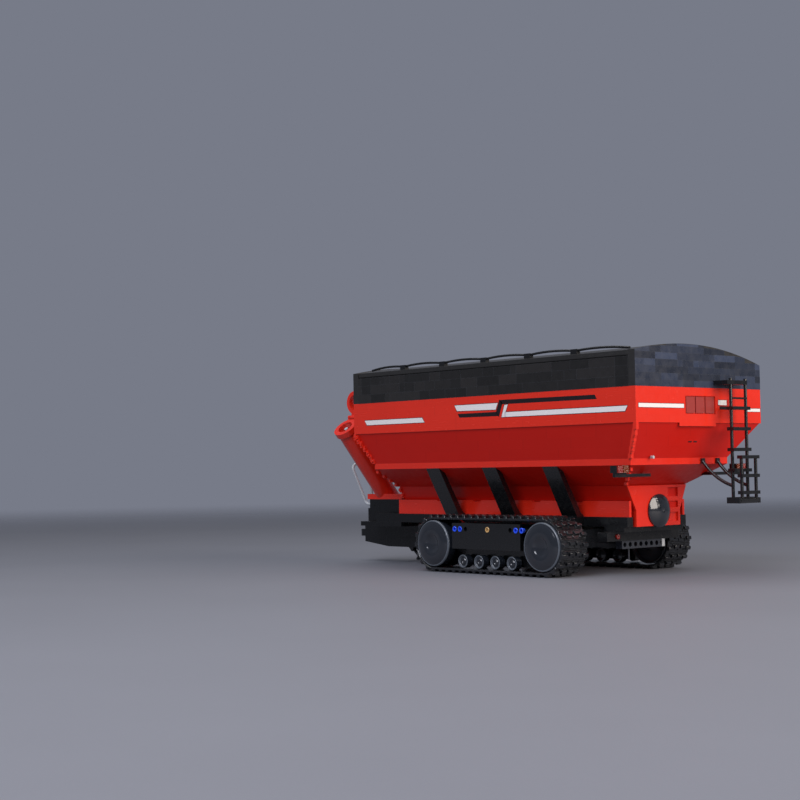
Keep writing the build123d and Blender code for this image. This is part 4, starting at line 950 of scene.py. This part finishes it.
# Two dark latches lie in the rear slope's slots, a little more than half-way down it.
slope_fall = Vector((17.7 * MM, 0, -33.1 * MM))
slope_lean = Matrix.Rotation(-0.49, 4, "Y")
slot_drop = 0.53
latch_depth = Vector((0.5 * MM, 0, 0))
latches = bmesh.new()
for y in (-3.8 * MM, 4.2 * MM):
    place = Vector((station(1.2), y, band_floor)) + slope_fall * slot_drop
    add_box(latches, place + latch_depth, (1.2 * MM, 5.4 * MM, 1.3 * MM), slope_lean)
latch_piece = publish("slope_latches", latches, "cart", [black_part])

# A light grey plate over the arm's end is a painted highlight, and a pin stands out of the rear slope.
arm_low, arm_high = span("perforated_arm")
arm_end_highlight_size = (0.8 * MM, 4.4 * MM, 7.8 * MM)
pin_radius = 1.5 * MM
pin_length = 3.5 * MM
fittings = bmesh.new()
add_box(fittings, (arm_low.x - 0.2 * MM, arm_low.y + 2.4 * MM, arm_high.z - 4 * MM), arm_end_highlight_size)
add_turned(fittings, [(0, 0), (pin_radius, 0), (pin_radius, pin_length), (0, pin_length)],
           (station(17.0), 54.5 * MM, 114.6 * MM), (-1, 0, 0), steps=24)
fitting_piece = publish("light_grey_fittings", fittings, "cart", [light_grey], bevel=0.2 * MM)
print("small fittings", 2)

# %% [markdown]
# ## Camera, floor and light
# The camera stands low behind the cart's left rear corner. A broad key light comes from behind and above,
# and the side towards the camera is lit by soft fill.

# %% Camera
heading, pitch, roll = radians(-40.99), radians(2.52), radians(-0.973)
eye = Vector((station(-925.9), 1.1837, 0.1082))
forward = Vector((cos(heading) * cos(pitch), sin(heading) * cos(pitch), sin(pitch)))
level_right = Vector((sin(heading), -cos(heading), 0.0))
level_up = level_right.cross(forward)
right = level_right * cos(roll) + level_up * sin(roll)
up = level_up * cos(roll) - level_right * sin(roll)
camera_data = bpy.data.cameras.new("camera")
camera_data.lens = 69.77
camera_data.sensor_width = 36.0
camera_data.clip_start = 0.05
camera = bpy.data.objects.new("camera", camera_data)
bpy.context.scene.collection.objects.link(camera)
turn = Matrix((right, up, -forward)).transposed()
camera.matrix_world = Matrix.Translation(eye) @ turn.to_4x4()
bpy.context.scene.camera = camera
print("camera", tuple(round(v, 3) for v in eye))

# %% Floor
floor_reach = 8.0
floor_mesh = bmesh.new()
bmesh.ops.create_grid(floor_mesh, x_segments=1, y_segments=1, size=floor_reach)
floor_data = bpy.data.meshes.new("floor")
floor_mesh.to_mesh(floor_data)
floor_mesh.free()
floor_data.materials.append(studio_paper)
floor = bpy.data.objects.new("floor", floor_data)
bpy.context.scene.collection.objects.link(floor)

# %% Lights


def area_light(name, place, aim, size, power, colour="FFFFFF"):
    """A rectangular soft light that faces a point."""
    data = bpy.data.lights.new(name, "AREA")
    data.shape = "RECTANGLE"
    data.size, data.size_y = size
    data.energy = power
    data.color = linear(colour)[:3]
    lamp = bpy.data.objects.new(name, data)
    lamp.location = place
    lamp.rotation_euler = (Vector(aim) - Vector(place)).to_track_quat("-Z", "Y").to_euler()
    bpy.context.scene.collection.objects.link(lamp)


aim = Vector((0, 0, 0.1))
area_light("key", Vector((-1.7, -0.3, 0.75)), aim, (1.3, 1.1), 32, "FFF4EA")
area_light("fill", Vector((-0.7, 1.8, 1.5)), aim, (1.6, 1.2), 40, "F2F4FF")
area_light("top", Vector((0.4, 0.3, 2.0)), aim, (1.6, 1.6), 18)
world = bpy.data.worlds.new("studio")
bpy.context.scene.world = world
world.use_nodes = True
backdrop = node(world.node_tree, "ShaderNodeBackground", {0: linear("777B88"), 1: 1.0})
surround = node(world.node_tree, "ShaderNodeBackground", {0: linear("8F93A0"), 1: 0.5})
seen = node(world.node_tree, "ShaderNodeLightPath").outputs["Is Camera Ray"]
sky = node(world.node_tree, "ShaderNodeMixShader", {0: seen, 1: surround.outputs[0], 2: backdrop.outputs[0]})
world.node_tree.links.new(sky.outputs[0], world.node_tree.nodes["World Output"].inputs["Surface"])
bpy.context.scene.view_settings.view_transform = "Standard"
print("lights", 3)
